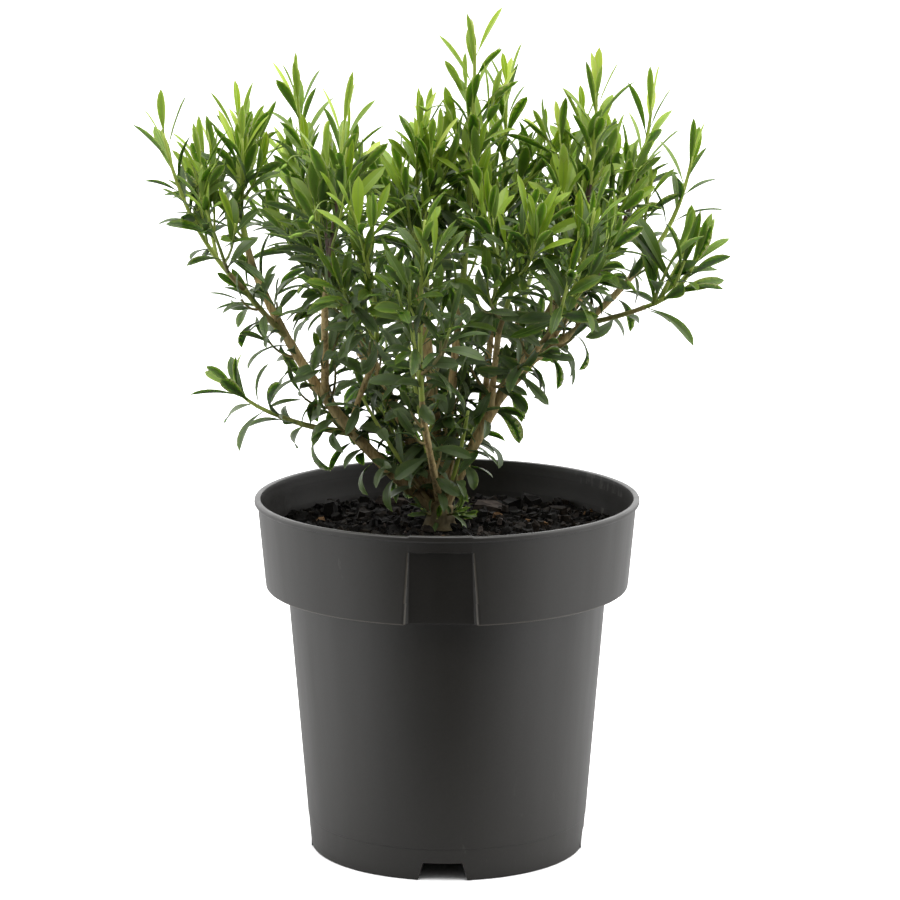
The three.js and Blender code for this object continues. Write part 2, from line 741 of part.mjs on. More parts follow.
function limbMeshes(limbs) {
  const meshes = [];
  let taken = null;
  for (const limb of limbs.values()) {
    const whole = limbSolid(limb, 0);
    const solid = taken ? largestPiece(whole.subtract(taken)) : whole;
    const swollen = limbSolid(limb, CLEARANCE);
    taken = taken ? taken.add(swollen) : swollen;
    meshes.push(namedMesh(limb.name === "trunk" ? "trunk" : `bough_${limb.name}`, solid, BARK));
  }
  return meshes;
}

function foliageMeshes(limbs) {
  const limbSpace = [...limbs.values()].map((limb) => limbSolid(limb, CLEARANCE))
    .reduce((all, limb) => all.add(limb));
  const shoots = SHOOTS.map((row) => shootLeader(row, limbs.get(row.name)));
  shoots.push(...SPRIGS.map((row) => sprigLeader(row, limbs.get("trunk"))));
  const leaders = new Map(shoots.map((shoot) => (
    [shoot.name, shoot.curve.getSpacedPoints(LEADER_STEPS)])));
  const stations = [...limbs.values()].map((limb) => (
    limb.curve.getSpacedPoints(LIMB_STEPS).map((point, k) => (
      { point, radius: limb.radiusAt(k / LIMB_STEPS) }))));
  return shoots.map((shoot, k) => {
    const solid = foliageMass(shoot, FOLIAGE_SEED + k, leaders, stations, limbSpace);
    return namedMesh(`foliage_${shoot.name}`, solid, LEAF_GREEN);
  });
}

const plant = new THREE.Group();
const limbs = makeLimbs();
plant.add(namedMesh("pot", makePot(), BLACK_PLASTIC));
plant.add(namedMesh("potting_mix", makeMix(), BARK_MIX));
plant.add(...limbMeshes(limbs));
plant.add(...foliageMeshes(limbs));

export default plant;
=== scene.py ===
# Potted eremophila: a young shrub with many stems, in its round black nursery pot
# Shapes are worked out in millimetres and written in metres. -Y is the front, +X the right, +Z up.

import json
import math
from collections import namedtuple
from types import SimpleNamespace as Sizes

import bpy
import numpy as np
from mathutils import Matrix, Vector, noise

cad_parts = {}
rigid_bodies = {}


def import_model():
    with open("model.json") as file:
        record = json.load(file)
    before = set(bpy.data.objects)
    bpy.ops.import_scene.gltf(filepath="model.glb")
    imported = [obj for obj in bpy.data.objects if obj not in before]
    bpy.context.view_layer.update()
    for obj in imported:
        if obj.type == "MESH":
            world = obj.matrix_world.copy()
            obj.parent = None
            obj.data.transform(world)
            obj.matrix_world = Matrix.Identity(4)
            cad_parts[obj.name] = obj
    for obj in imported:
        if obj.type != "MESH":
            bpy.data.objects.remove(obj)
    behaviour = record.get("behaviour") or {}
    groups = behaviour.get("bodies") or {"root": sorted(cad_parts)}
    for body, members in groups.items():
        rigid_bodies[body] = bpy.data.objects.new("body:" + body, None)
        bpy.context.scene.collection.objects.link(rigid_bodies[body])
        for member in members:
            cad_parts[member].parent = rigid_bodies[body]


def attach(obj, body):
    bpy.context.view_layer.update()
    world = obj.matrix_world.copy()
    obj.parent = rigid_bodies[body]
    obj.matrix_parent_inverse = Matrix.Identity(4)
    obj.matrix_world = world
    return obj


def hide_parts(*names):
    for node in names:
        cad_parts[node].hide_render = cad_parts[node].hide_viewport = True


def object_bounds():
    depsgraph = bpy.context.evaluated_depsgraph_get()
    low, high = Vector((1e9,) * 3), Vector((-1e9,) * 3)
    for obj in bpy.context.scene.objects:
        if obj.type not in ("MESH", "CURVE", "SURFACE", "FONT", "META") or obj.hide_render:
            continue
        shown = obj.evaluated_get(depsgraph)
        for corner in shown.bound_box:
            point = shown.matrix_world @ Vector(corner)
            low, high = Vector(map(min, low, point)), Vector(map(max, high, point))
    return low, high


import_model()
cad_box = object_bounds()

MM = 0.001
UP = np.array([0.0, 0.0, 1.0])

# Pot: a tapered body with a faint ring line near its foot, under a wider tapered collar with a rim bead
POT = Sizes(
    height=186.6, wall=1.5, floor=2.0, foot_radius=71.9, foot_round=1.0, shoulder_radius=83.2, ledge=139.7,
    ledge_inset=1.4, ledge_round=1.2, collar_foot_radius=94.7, collar_round=0.8, collar_top_radius=98.7,
    rim_radius=100.4, rim_height=3.0, rim_round=1.1, lip_round=0.5, lip_drop=0.15, ring_line=17.0,
    ring_step=0.22, turn=-1.8,
)
# Radii of the rings in the pot's floor
FLOOR_RINGS = [6, 20, 31, 45, 58]
# Columns on one side of the pot, close together at the side edge of its label recess. Their places count
# from 0 at the recess's middle to 1 at its edge, and on to BACK at the back of the pot.
BACK = 8.0
COLUMNS = np.concatenate([
    np.linspace(0, 0.84, 8), np.linspace(0.87, 1.03, 9), np.linspace(1.1, BACK, 127)])

# Label recess with a flat back in the front of the collar, and a low pad over it on the rim
RECESS = Sizes(
    top_width=33.0, foot_width=40.0, top=178.5, top_depth=0.7, foot_depth=2.6, top_edge=0.5, foot_edge=2.2,
    pad=0.6, pad_fade=0.08,
)
# Rings at the recess's top edge: how far below the edge, and how much of the recess's depth
RECESS_TOP = [(0.7, 1), (0.45, 0.9), (0.15, 0.15), (0, 0)]

# Where the pot's faces take the looks of the recess, darker as painted shade, of its rubbed inner wall, and
# of its thin edges, lighter as a painted highlight
POT_LOOKS = Sizes(
    front=80.0, under_top=0.4, below_ledge=0.4, above_ledge=0.7, ledge_width=3.2, side_place=0.7,
    side_width=0.5, inner_from=4.0, inner_depth=0.7, sharp=32.0,
)

# Drainage channels pressed up into the floor, and the hole in the roof of each
CHANNEL = Sizes(
    count=4, foot_width=26.0, top_width=20.0, height=9.5, inner_reach=31.0, outer_reach=90.0,
    cover_foot=0.6, cover_reach=71.0, hole_reach=52.0, hole_radius=5.0, hole_low=5.0, hole_high=14.0,
    hole_sides=32,
)

# Potting mix, mounded a little round the stem, and even in a ring next to it
MIX = Sizes(
    wall_level=166.5, foot_level=170.0, flat_reach=92.0, underside=11.3, wall_gap=0.9, rows=56,
    columns=180, recess_gap=0.8, recess_lead=2.2, recess_side=5.0, sunk=0.4, even_ring=12.0,
)
# Clods in the mix's top: their height and width, and the layer of the noise
CLODS = [(3.4, 14, 0.3), (1.6, 5, 4)]
# Side of the mix's skin from the underside up: radius and height
MIX_SIDE = [(20, 11.3), (60, 11.3), (69.5, 11.3), (81, 137), (81, 142), (92.6, 142.5), (94.6, 160)]

# Bark chips strewn over the mix: they keep off the pot's wall, its recess and the stem
CHIPS = Sizes(
    count=3600, seed=7, reach=94.0, smallest=1.2, spread=7.5, rarity=3.4, width=(0.4, 0.9),
    thickness=(0.16, 0.5), thinnest=0.4, tilt=0.9, heaped=0.22, raised=0.2, wall=95.5, recess=90.5,
    recess_half=24.0, stem=8.0,
)
# Corners of a chip: their reach, how far the upper ones are drawn in, and how far they lie below and
# above its middle, as shares of its half size
CHIP_CORNERS = Sizes(reach=(0.72, 1.12), drawn_in=(0.65, 0.95), below=(0.6, 1.2), above=(0.5, 1.4))
# Larger pieces that lie on the mix: their look, place, length, width, thickness and turn in degrees
CHUNKS = [
    ("chips_grey", 22, 42, 27, 12, 8, 20),
    ("chips_grey", -29, 64, 20, 8, 5, -10),
    ("chips_dark", 45, 68, 15, 10, 8, 40),
    ("chips_dark", -62, 48, 15, 10, 8, 100),
    ("chips_brown", 60, 50, 18, 8, 6, -35),
    ("chips_brown", -44, 30, 16, 7, 5, 60),
    ("chips_dark", 36, 66, 15, 12, 9, 0),
    ("chips_tan", 10, 15, 9, 4, 3, 80),
    ("chips_tan", 27, 17, 8, 3.5, 3, -30),
    ("chips_tan", 43, 22, 5, 2.5, 2, 15),
    ("chips_grey", 28, 6, 6, 4, 3, 60),
]
# Their pitch and roll in radians, and how far they stand out of the mix, as a share of their thickness
CHUNK_TILT = (0.1, 0.15)
CHUNK_RAISE = 0.3

# Trunk, a short stump with a root flare, drawn in over its fork between the boughs
TRUNK = Sizes(
    x=-3.7, y=0.0, foot=170.0, rise=13.0, lean_x=1.5, lean_y=0.6, foot_radius=7.0, top_radius=5.8,
    flare=3.5, flare_rise=2.5, lobes=5, lobe_depth=0.12, lobe_fade=4.0, rows=40, sides=48,
)
# Rings of the fork: their share of the trunk's length and of its radius
FORK = [(0.94, 0.96), (0.97, 0.85), (0.99, 0.65), (1, 0.35)]
# Ridges and grain of bark: their depth as a share of the limb's radius, how close they lie round the
# limb, and their length
BARK_GRAIN = [(0.11, 2.6, 7.0), (0.05, 6.0, 2.2)]
# Swellings at old leaf scars: height as a share of the radius, distance along the limb divided by pi,
# and narrowness
SCARS = Sizes(height=0.09, distance=5.2, narrowness=12)
# Skin of a bough, a little wider at its foot
BOUGH_SKIN = Sizes(sides=20, ring_distance=1.1, least_rings=24, foot_swelling=0.35, foot_length=5.0)

# Boughs: name, parent limb, share of its length where the bough leaves it, turn in degrees from +X,
# reach from the plant's foot, rise above the mix, lift, radius at foot and tip
Bough = namedtuple("Bough", "name parent at turn reach rise lift foot tip")
BOUGHS = [Bough(*row) for row in [
    ("left", "trunk", 0.6, 173.5, 97, 134, -0.3, 3.4, 2),
    ("right", "trunk", 0.7, 0, 52, 106, 0.06, 3.5, 2.1),
    ("front", "trunk", 0.75, -101, 42, 64, -0.05, 2, 1.6),
    ("back", "trunk", 0.7, 97, 36, 72, 0.05, 2.6, 1.9),
    ("back_left", "trunk", 0.65, 143, 44, 84, 0.05, 2.5, 1.9),
    ("centre", "trunk", 0.95, 150, 12, 122, 0.2, 3, 2.3),
    ("top", "trunk", 0.9, 25, 10, 102, 0.1, 2.5, 2),
    ("left_low", "left", 0.38, 176, 84, 58, -0.35, 1.7, 1.3),
    ("left_front", "left", 0.53, -154, 65, 124, 0.1, 2.1, 1.7),
    ("left_far", "left", 0.76, -178, 101, 126, -0.05, 1.6, 1.4),
    ("front_left", "left", 0.4, -154, 37, 92, 0.1, 1.6, 1.4),
    ("right_back", "right", 0.6, 23, 80, 116, -0.1, 2.2, 1.8),
    ("right_front", "right", 0.52, -41, 40, 108, 0.1, 1.8, 1.5),
    ("top_right", "right", 0.44, 34, 32, 98, 0.1, 1.9, 1.6),
    ("right_mid", "right", 0.76, 5.5, 100, 131, -0.2, 2.2, 1.6),
    ("right_low", "right_mid", 0.55, -6, 106, 118, -0.15, 1.4, 1.2),
    ("front_right", "right", 0.68, -36, 64, 104, -0.1, 1.6, 1.4),
    ("back_far_left", "back_left", 0.5, 137, 64, 92, 0, 1.8, 1.6),
    ("back_far_right", "right_back", 0.35, 50, 64, 100, 0, 1.8, 1.6),
    ("back_low", "back", 0.5, 112, 74, 56, -0.2, 1.6, 1.2),
]]
# Boughs with the green bark of young wood
GREEN_BOUGHS = ("left_far", "left_low", "right_low", "back_low")

# Shoots that carry on from the boughs: name, turn, reach, rise, side twigs, spread of these
Shoot = namedtuple("Shoot", "name turn reach rise twigs spread")
SHOOTS = [Shoot(*row) for row in [
    ("left", 168, 106, 206, 5, 62),
    ("right", 0, 80, 224, 5, 58),
    ("front", -95, 84, 170, 5, 56),
    ("back", 95, 94, 196, 4, 64),
    ("back_left", 152, 84, 220, 5, 62),
    ("centre", 148, 12, 206, 5, 58),
    ("top", 0, 18, 248, 5, 60),
    ("left_low", 175.5, 107, 72, 0, 34),
    ("left_front", -148, 57, 212, 4, 56),
    ("left_far", -177.5, 141, 206, 4, 46),
    ("front_left", -120, 86, 176, 5, 56),
    ("right_back", 21, 118, 212, 4, 56),
    ("right_front", -54, 76, 172, 4, 54),
    ("top_right", 41, 46, 226, 4, 60),
    ("right_mid", 5, 130, 190, 4, 44),
    ("right_low", -8, 130, 139, 4, 36),
    ("front_right", -42, 103, 174, 4, 54),
    ("back_far_left", 136, 112, 188, 4, 60),
    ("back_far_right", 52, 110, 188, 4, 60),
    ("back_low", 112, 106, 84, 2, 40),
]]

# Sprigs that rise straight from the trunk: name, share of its length, turn, reach, rise, twigs, spread
Sprig = namedtuple("Sprig", "name at turn reach rise twigs spread")
SPRIGS = [Sprig(*row) for row in [
    ("sprig_left", 0.5, -164, 40, 68, 2, 30),
    ("sprig_front", 0.6, -128, 25, 98, 2, 24),
    ("sprig_right", 0.5, -50, 22, 62, 1, 24),
    ("sprig_back", 0.5, 62, 34, 84, 3, 34),
    ("sprig_back_left", 0.45, 150, 40, 76, 3, 34),
]]
SPRIG_BOW = 4.0
SPRIG_RADIUS = 1.5
# Sprigs with no finer twigs
SPARSE_SPRIGS = ("sprig_left", "sprig_front", "sprig_right")

# The branching rule of the shoots: a leader, and side twigs that leave it in a spiral
LEADER = Sizes(bend=0.45, upright=0.4, tip_radius=0.8, age=0.15, run_on=3.0, steps=10)
TWIG = Sizes(
    radius=1.1, tip_radius=0.6, first=0.06, last=0.56, angle=48.0, angle_turn=137.5, turn_spread=30.0,
    shortening=0.6, length_spread=0.3, bend=0.45, bend_along=0.55, bend_up=0.5, age=0.2, ageing=0.5,
    uneven=0.4,
)
FOLIAGE_SEED = 101
# Room that twigs keep to other shoots, to limbs, to the rim, to the mix and to the crown's box
GAP = Sizes(shoot=0.6, limb=1.6, rim=5.0, mix=4.0, crown=8.0)

# Finer twigs on leaders and side twigs
FINER = Sizes(
    spacing=20.0, leader_length=38.0, twig_length=29.0, length_spread=0.5, angle=33.0, first=0.1,
    last=0.74, uneven=0.5, radius=0.8, tip_radius=0.5, age=0.3, ageing=0.45,
)

# Short dark twigs inside the crown, on the boughs, and the boughs that have more of them
INNER = Sizes(
    spacing=8.0, first=0.27, last=0.97, uneven=0.6, shortest=10.0, longest=33.0, angle=62.0,
    radius=0.85, tip_radius=0.55, age=0.05, tip_age=0.45, seed=57, spray=900,
)
INNER_CROWDING = {"left": 2.3, "left_far": 3.6, "right_mid": 1.6}

# Leaves on the boughs themselves: the length that stays bare next to the trunk or another bough, and
# how far apart they stand, as a share of the usual, and their age at the bough's tip
BOUGH_LEAVES = Sizes(bare_at_trunk=24.0, bare_at_fork=8.0, usual=(1.2, 0.22), spray=700)
LEAFY_BOUGHS = {
    "left": (0.45, 0.5), "left_far": (0.5, 0.6), "right_mid": (0.6, 0.4), "right": (0.9, 0.22),
    "left_low": (0.7, 0.22), "right_low": (1.2, 0.4),
}

# Sprouts round the foot of the trunk
SPROUTS = Sizes(
    count=9, shortest=7.0, longest=16.0, rise=8.0, first=0.15, last=0.7, radius=0.7, tip_radius=0.45,
    age=0.3, tip_age=0.5, vigour=0.55, seed=71, spray=1200,
)

# Furthest reach of twigs from the trunk at each height, on the left and on the right, except on the low
# shoots
ENVELOPE = Sizes(
    heights=[200.0, 230.0, 250.0, 268.0, 286.0, 305.0, 320.0, 335.0, 352.0, 370.0],
    left=[45.0, 70.0, 82.0, 92.0, 100.0, 110.0, 118.0, 125.0, 130.0, 140.0],
    right=[20.0, 36.0, 46.0, 68.0, 92.0, 114.0, 124.0, 116.0, 112.0, 120.0],
)
# Low shoots: the age of the leaves at their foot, the angle at which the leaves of the tip stand out,
# and how far apart the leaves stand, as a share of the usual, or None where they stand as elsewhere
LOW_SHOOTS = {"left_low": (0.2, 44, 0.5), "back_low": (0.2, 40, 0.7), "right_low": (0.5, 14, None)}
LOW_TIP_AGE = 0.7
LOW_BARE_FOOT = 1.0

# Shoots with purple-brown stems, and the size of the leaves of some shoots, as a share of the usual
PURPLE_SHOOTS = ("left_front", "right", "right_back")
VIGOUR = {"left_low": 1.1, "right_low": 1.25, "back_low": 1.1, "left_front": 1.15, "top": 1.05}

# Shoots that end below this span of heights bear dark leaves, and those above it end in fresh ones: the
# span, and below and above it the greatest age at a shoot's foot and the age at its tip
FRESH = Sizes(level=(262.0, 395.0), foot_age=(0.15, 0.75), tip_age=(0.42, 1.0))

# Leaves by the age of their stretch of shoot, from old wood to a fresh tip: their length, width, angle
# from the shoot, how far they bend back, and how far apart they stand
LEAF_AGES = [0.0, 0.2, 0.55, 0.95]
LEAF_FORMS = dict(
    length=[24.0, 21.0, 25.5, 26.0], width=[7.2, 6.0, 6.0, 5.4], angle=[68.0, 66.0, 40.0, 26.0],
    bend=[92.0, 82.0, 34.0, 14.0], spacing=[5.6, 6.0, 5.0, 4.4],
)
# Bare length at the foot of a leader, and of a twig
BARE_FOOT = (12.0, 3.5)
# The tuft at a shoot's tip: its own length, its leaves' angle, and their length, width, spacing and bend
# as shares of the usual
TUFT = Sizes(zone=15.0, angle=8.0, length=0.78, shortening=1.3, width=0.72, spacing=0.5, bend=0.5)
# How much single leaves vary: length, width, bend and spacing in shares of the usual, and angles in
# degrees. Leaves under the old age twist and roll more, and droop, and those of fresh tips are younger.
VARY = Sizes(
    length=0.5, width=0.5, bend=0.6, spacing=0.5, angle=26.0, turn=26.0, twist=50.0, roll=44.0, age=0.14,
    old_age=0.5, old_twist=40.0, old_roll=70.0, droop=0.9, tip_age=0.2, next_tint=1.6,
)
# Form of a leaf: folded along its rib, thinner towards its tip and where it is narrow
LEAF = Sizes(
    segments=8, thickness=0.34, fold=16.0, rib=0.2, rib_share=0.3, stalk=0.13, bend_power=1.15,
    tip_thinning=0.6, thin_width=1.2, keel=0.04,
)

# Flower buds on their thin bowed stalks, on shoots with young tips
BUDS = Sizes(
    count=46, seed=23, length=7.0, radius=1.25, sides=6, least_tip_age=0.7, first=0.25, last=0.75,
    stalk=17.0, stalk_radius=0.33, stalk_rings=9, stalk_sides=5, bow_along=0.35, bow_out=0.75,
)
# Outline of a bud: share of its length and of its radius
BUD_OUTLINE = [(0.0, 0.35), (0.1, 0.75), (0.28, 1.0), (0.5, 0.92), (0.72, 0.6), (0.9, 0.25), (1.0, 0.05)]

# Leaf looks by age: name, three tints of the blade, the rib and the underside. The old leaves' tints are
# partly their own grey-green and partly painted light: lightened and greyed to stand in for front light and
# satin sheen on the low crown.
LEAF_LOOKS = [
    ("old", [(0.051, 0.082, 0.024), (0.069, 0.104, 0.034), (0.089, 0.126, 0.049)],
     (0.07, 0.105, 0.032), (0.088, 0.122, 0.056)),
    ("mature", [(0.033, 0.063, 0.005), (0.045, 0.083, 0.006), (0.06, 0.103, 0.008)],
     (0.08, 0.13, 0.02), (0.066, 0.104, 0.026)),
    ("young", [(0.112, 0.183, 0.009), (0.15, 0.231, 0.013), (0.189, 0.28, 0.019)],
     (0.17, 0.26, 0.03), (0.125, 0.195, 0.03)),
    ("tip", [(0.24, 0.335, 0.02), (0.305, 0.4, 0.034), (0.39, 0.475, 0.068)],
     (0.4, 0.5, 0.1), (0.29, 0.39, 0.06)),
]
# The ages at which the leaves, and the stems, change from one look to the next
LEAF_BANDS = [0.42, 0.68, 0.98]
STEM_BANDS = [0.24, 0.4, 0.66]
# Stem looks: name, colour and roughness
STEM_LOOKS = [
    ("stem_brown", (0.3, 0.23, 0.09), 0.7),
    ("stem_olive", (0.17, 0.16, 0.05), 0.6),
    ("stem_green", (0.22, 0.29, 0.05), 0.5),
    ("stem_yellow_green", (0.36, 0.45, 0.08), 0.45),
    ("stem_purple", (0.085, 0.05, 0.035), 0.5),
]
# Chip looks: the piece's and the material's name, dark and light colour, share of all the chips so far
CHIP_LOOKS = [
    ("chips_dark", "chip_dark", (0.0014, 0.0011, 0.0008), (0.0062, 0.0048, 0.0033), 0.62),
    ("chips_brown", "chip_brown", (0.0035, 0.0024, 0.0014), (0.016, 0.0105, 0.0055), 0.95),
    ("chips_grey", "chip_grey", (0.014, 0.011, 0.009), (0.075, 0.058, 0.048), 0.99),
    ("chips_tan", "chip_tan", (0.06, 0.03, 0.011), (0.2, 0.11, 0.045), 1.0),
]

# Camera of the photograph: its place in millimetres, its turn down in degrees, and its focal length and
# sensor in millimetres
CAMERA = Sizes(x=1.57, distance=1933.6, height=596.6, pitch=11.28, lens=151.62, sensor=36.0)


class Draws:
    """Repeatable draws between 0 and 1, the same as those of the solids for the same seed."""

    def __init__(self, seed):
        self.state = seed & 0xFFFFFFFF

    def __call__(self):
        self.state = (self.state + 0x6D2B79F5) & 0xFFFFFFFF
        mixed = ((self.state ^ (self.state >> 15)) * (self.state | 1)) & 0xFFFFFFFF
        mixed ^= (mixed + (mixed ^ (mixed >> 7)) * (mixed | 61)) & 0xFFFFFFFF
        return ((mixed ^ (mixed >> 14)) & 0xFFFFFFFF) / 4294967296.0


def spread_round(middle, spread, draw):
    return middle + spread * (draw() - 0.5)


def lerp(first, second, share):
    return first + (second - first) * share


def unit(vectors):
    return vectors / np.linalg.norm(vectors, axis=-1, keepdims=True)


def smooth_step(value):
    value = np.clip(value, 0, 1)
    return value * value * (3 - 2 * value)


def circle(sides):
    return np.linspace(0, 2 * np.pi, sides, endpoint=False)


class Path:
    """A bent line through space, read at shares of its length; run_on is a straight end of that length."""

    STEPS = 96

    def __init__(self, start, middle, end, run_on=0.0):
        t = np.linspace(0, 1, self.STEPS + 1)[:, None]
        points = (1 - t) ** 2 * start + 2 * t * (1 - t) * middle + t**2 * end
        tangents = unit(2 * (1 - t) * (middle - start) + 2 * t * (end - middle))
        if run_on:
            points = np.concatenate([points, [points[-1] + tangents[-1] * run_on]])
            tangents = np.concatenate([tangents, tangents[-1:]])
        self.corners = (start, middle, end)
        self.points = points
        self.tangents = tangents
        self.stations = np.concatenate([[0], np.cumsum(np.linalg.norm(np.diff(points, axis=0), axis=1))])
        self.length = self.stations[-1]

    def _read(self, values, shares):
        at = np.asarray(shares) * self.length
        return np.stack([np.interp(at, self.stations, values[:, k]) for k in range(3)], axis=-1)

    def point(self, shares):
        return self._read(self.points, shares)

    def tangent(self, shares):
        return unit(self._read(self.tangents, shares))


def placed(turn, reach, rise):
    """A point by its turn and reach round the plant's foot and its rise above the mix."""
    angle = math.radians(turn)
    return np.array([
        TRUNK.x + reach * math.cos(angle), TRUNK.y + reach * math.sin(angle), TRUNK.foot + rise])


# Meshes

def mesh_piece(name, vertices, quads=(), triangles=(), slots=None, materials=(), smooth=True):
    """A mesh object from points in millimetres and arrays of four-sided and three-sided faces."""
    quads = np.asarray(quads, dtype=np.int32).reshape(-1, 4)
    triangles = np.asarray(triangles, dtype=np.int32).reshape(-1, 3)
    loops = np.concatenate([quads.ravel(), triangles.ravel()])
    starts = np.concatenate([
        np.arange(len(quads)) * 4, 4 * len(quads) + np.arange(len(triangles)) * 3]).astype(np.int32)
    mesh = bpy.data.meshes.new(name)
    mesh.vertices.add(len(vertices))
    mesh.vertices.foreach_set("co", (np.asarray(vertices) * MM).astype(np.float32).ravel())
    mesh.loops.add(len(loops))
    mesh.loops.foreach_set("vertex_index", loops)
    mesh.polygons.add(len(starts))
    mesh.polygons.foreach_set("loop_start", starts)
    if slots is not None:
        mesh.polygons.foreach_set("material_index", np.asarray(slots, dtype=np.int32))
    mesh.polygons.foreach_set("use_smooth", np.full(len(starts), smooth))
    mesh.update(calc_edges=True)
    for material in materials:
        mesh.materials.append(material)
    return link(bpy.data.objects.new(name, mesh))


def link(obj):
    bpy.context.scene.collection.objects.link(obj)
    return obj


def adopt(piece, slot, *nodes):
    """The piece rides on the plant's one body and stands for its solids; the slot argument is not used."""
    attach(piece, "root")
    if nodes:
        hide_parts(*nodes)


class Sheets:
    """Gathers parts of one joined mesh, with a material number for each face."""

    def __init__(self):
        self.vertices = []
        self.faces = {4: [], 3: []}
        self.slots = {4: [], 3: []}
        self.count = 0

    def add(self, vertices, quads, triangles=(), quad_slots=0, triangle_slots=0):
        for corners, faces, slots in ((4, quads, quad_slots), (3, triangles, triangle_slots)):
            faces = np.asarray(faces, dtype=np.int32).reshape(-1, corners)
            self.faces[corners].append(faces + self.count)
            self.slots[corners].append(np.broadcast_to(slots, len(faces)))
        self.vertices.append(vertices)
        self.count += len(vertices)

    def piece(self, name, materials, smooth=True):
        quads, triangles = (np.concatenate(self.faces[corners]) for corners in (4, 3))
        slots = np.concatenate(self.slots[4] + self.slots[3])
        return mesh_piece(name, np.concatenate(self.vertices), quads, triangles, slots, materials, smooth)


def grid_quads(rows, columns):
    """Faces between rings of points that lie one after another."""
    row, column = np.meshgrid(np.arange(rows - 1), np.arange(columns), indexing="ij")
    after = (column + 1) % columns
    quads = [row * columns + column, row * columns + after,
             (row + 1) * columns + after, (row + 1) * columns + column]
    return np.stack(quads, axis=-1).reshape(-1, 4)


def fan(ring, centre):
    return np.stack([ring, np.roll(ring, -1), np.full(len(ring), centre)], axis=-1)


def capped(rings, first, last):
    """Points, quads and triangles of a closed skin over a stack of rings, with a point at each end."""
    rings = np.asarray(rings)
    rows, columns = rings.shape[:2]
    end = rows * columns
    index = np.arange(columns)
    triangles = np.concatenate([fan(index, end)[:, [1, 0, 2]], fan(index + end - columns, end + 1)])
    return np.concatenate([rings.reshape(-1, 3), [first, last]]), grid_quads(rows, columns), triangles


def turned(points, yaw, pitch=0.0, roll=0.0):
    """Points rolled about X, then pitched about Y, then turned about Z."""
    a, b, c = yaw, pitch, roll
    spin = np.array([[math.cos(a), -math.sin(a), 0], [math.sin(a), math.cos(a), 0], [0, 0, 1]])
    tip = np.array([[math.cos(b), 0, math.sin(b)], [0, 1, 0], [-math.sin(b), 0, math.cos(b)]])
    rock = np.array([[1, 0, 0], [0, math.cos(c), -math.sin(c)], [0, math.sin(c), math.cos(c)]])
    return points @ (spin @ tip @ rock).T


# Materials

def new_material(name, colour, roughness, **settings):
    material = bpy.data.materials.new(name)
    material.use_nodes = True
    shader = material.node_tree.nodes["Principled BSDF"]
    shader.inputs["Base Color"].default_value = (*colour, 1)
    shader.inputs["Roughness"].default_value = roughness
    for socket, value in settings.items():
        shader.inputs[socket.replace("_", " ")].default_value = value
    return material


class Nodes:
    """Short calls that add and join the nodes of a material or of the world."""

    def __init__(self, owner):
        self.tree = owner.node_tree

    def set(self, socket, value):
        """Gives an input a number, a colour or the output of another node."""
        if isinstance(value, bpy.types.NodeSocket):
            self.tree.links.new(value, socket)
        elif isinstance(value, tuple) and socket.type == "RGBA":
            socket.default_value = (*value, 1)
        else:
            socket.default_value = value

    def add(self, kind, inputs=None, **settings):
        """Adds a node and gives its outputs."""
        node = self.tree.nodes.new("ShaderNode" + kind)
        for key, value in settings.items():
            setattr(node, key, value)
        for socket, value in (inputs or {}).items():
            self.set(node.inputs[socket], value)
        return node.outputs

    def place(self, scale=(1, 1, 1)):
        coordinates = self.add("TexCoord")["Object"]
        return self.add("Mapping", {"Vector": coordinates, "Scale": scale})["Vector"]

    def coordinate(self, axis):
        return self.add("SeparateXYZ", {"Vector": self.place()})[axis]

    def noise(self, scale, detail, roughness=0.55, stretch=(1, 1, 1), distortion=0.0):
        return self.add("TexNoise", {
            "Vector": self.place(stretch), "Scale": scale, "Detail": detail, "Roughness": roughness,
            "Distortion": distortion})["Fac"]

    def ramp(self, value, *stops):
        ramp = self.tree.nodes.new("ShaderNodeValToRGB")
        elements = ramp.color_ramp.elements
        while len(elements) < len(stops):
            elements.new(0.5)
        for element, (place, colour) in zip(elements, stops):
            element.position = place
            element.color = (*colour, 1)
        self.set(ramp.inputs["Fac"], value)
        return ramp.outputs["Color"]

    def mix(self, factor, first, second):
        """Mix of two colours, which are inputs 6 and 7 and output 2 of the node."""
        return self.add("Mix", {0: factor, 6: first, 7: second}, data_type="RGBA")[2]

    def span(self, value, low, high, to_low, to_high, kind="LINEAR"):
        return self.add("MapRange", {
            "Value": value, "From Min": low, "From Max": high, "To Min": to_low, "To Max": to_high,
        }, interpolation_type=kind)["Result"]

    def times(self, first, second):
        return self.add("Math", {0: first, 1: second}, operation="MULTIPLY")["Value"]

    def surface(self, colour, relief, strength, depth):
        """The surface's colour and its fine relief."""
        shader = self.tree.nodes["Principled BSDF"]
        self.set(shader.inputs["Base Color"], colour)
        bump = self.add("Bump", {"Strength": strength, "Distance": depth, "Height": relief})
        self.set(shader.inputs["Normal"], bump["Normal"])
        return shader


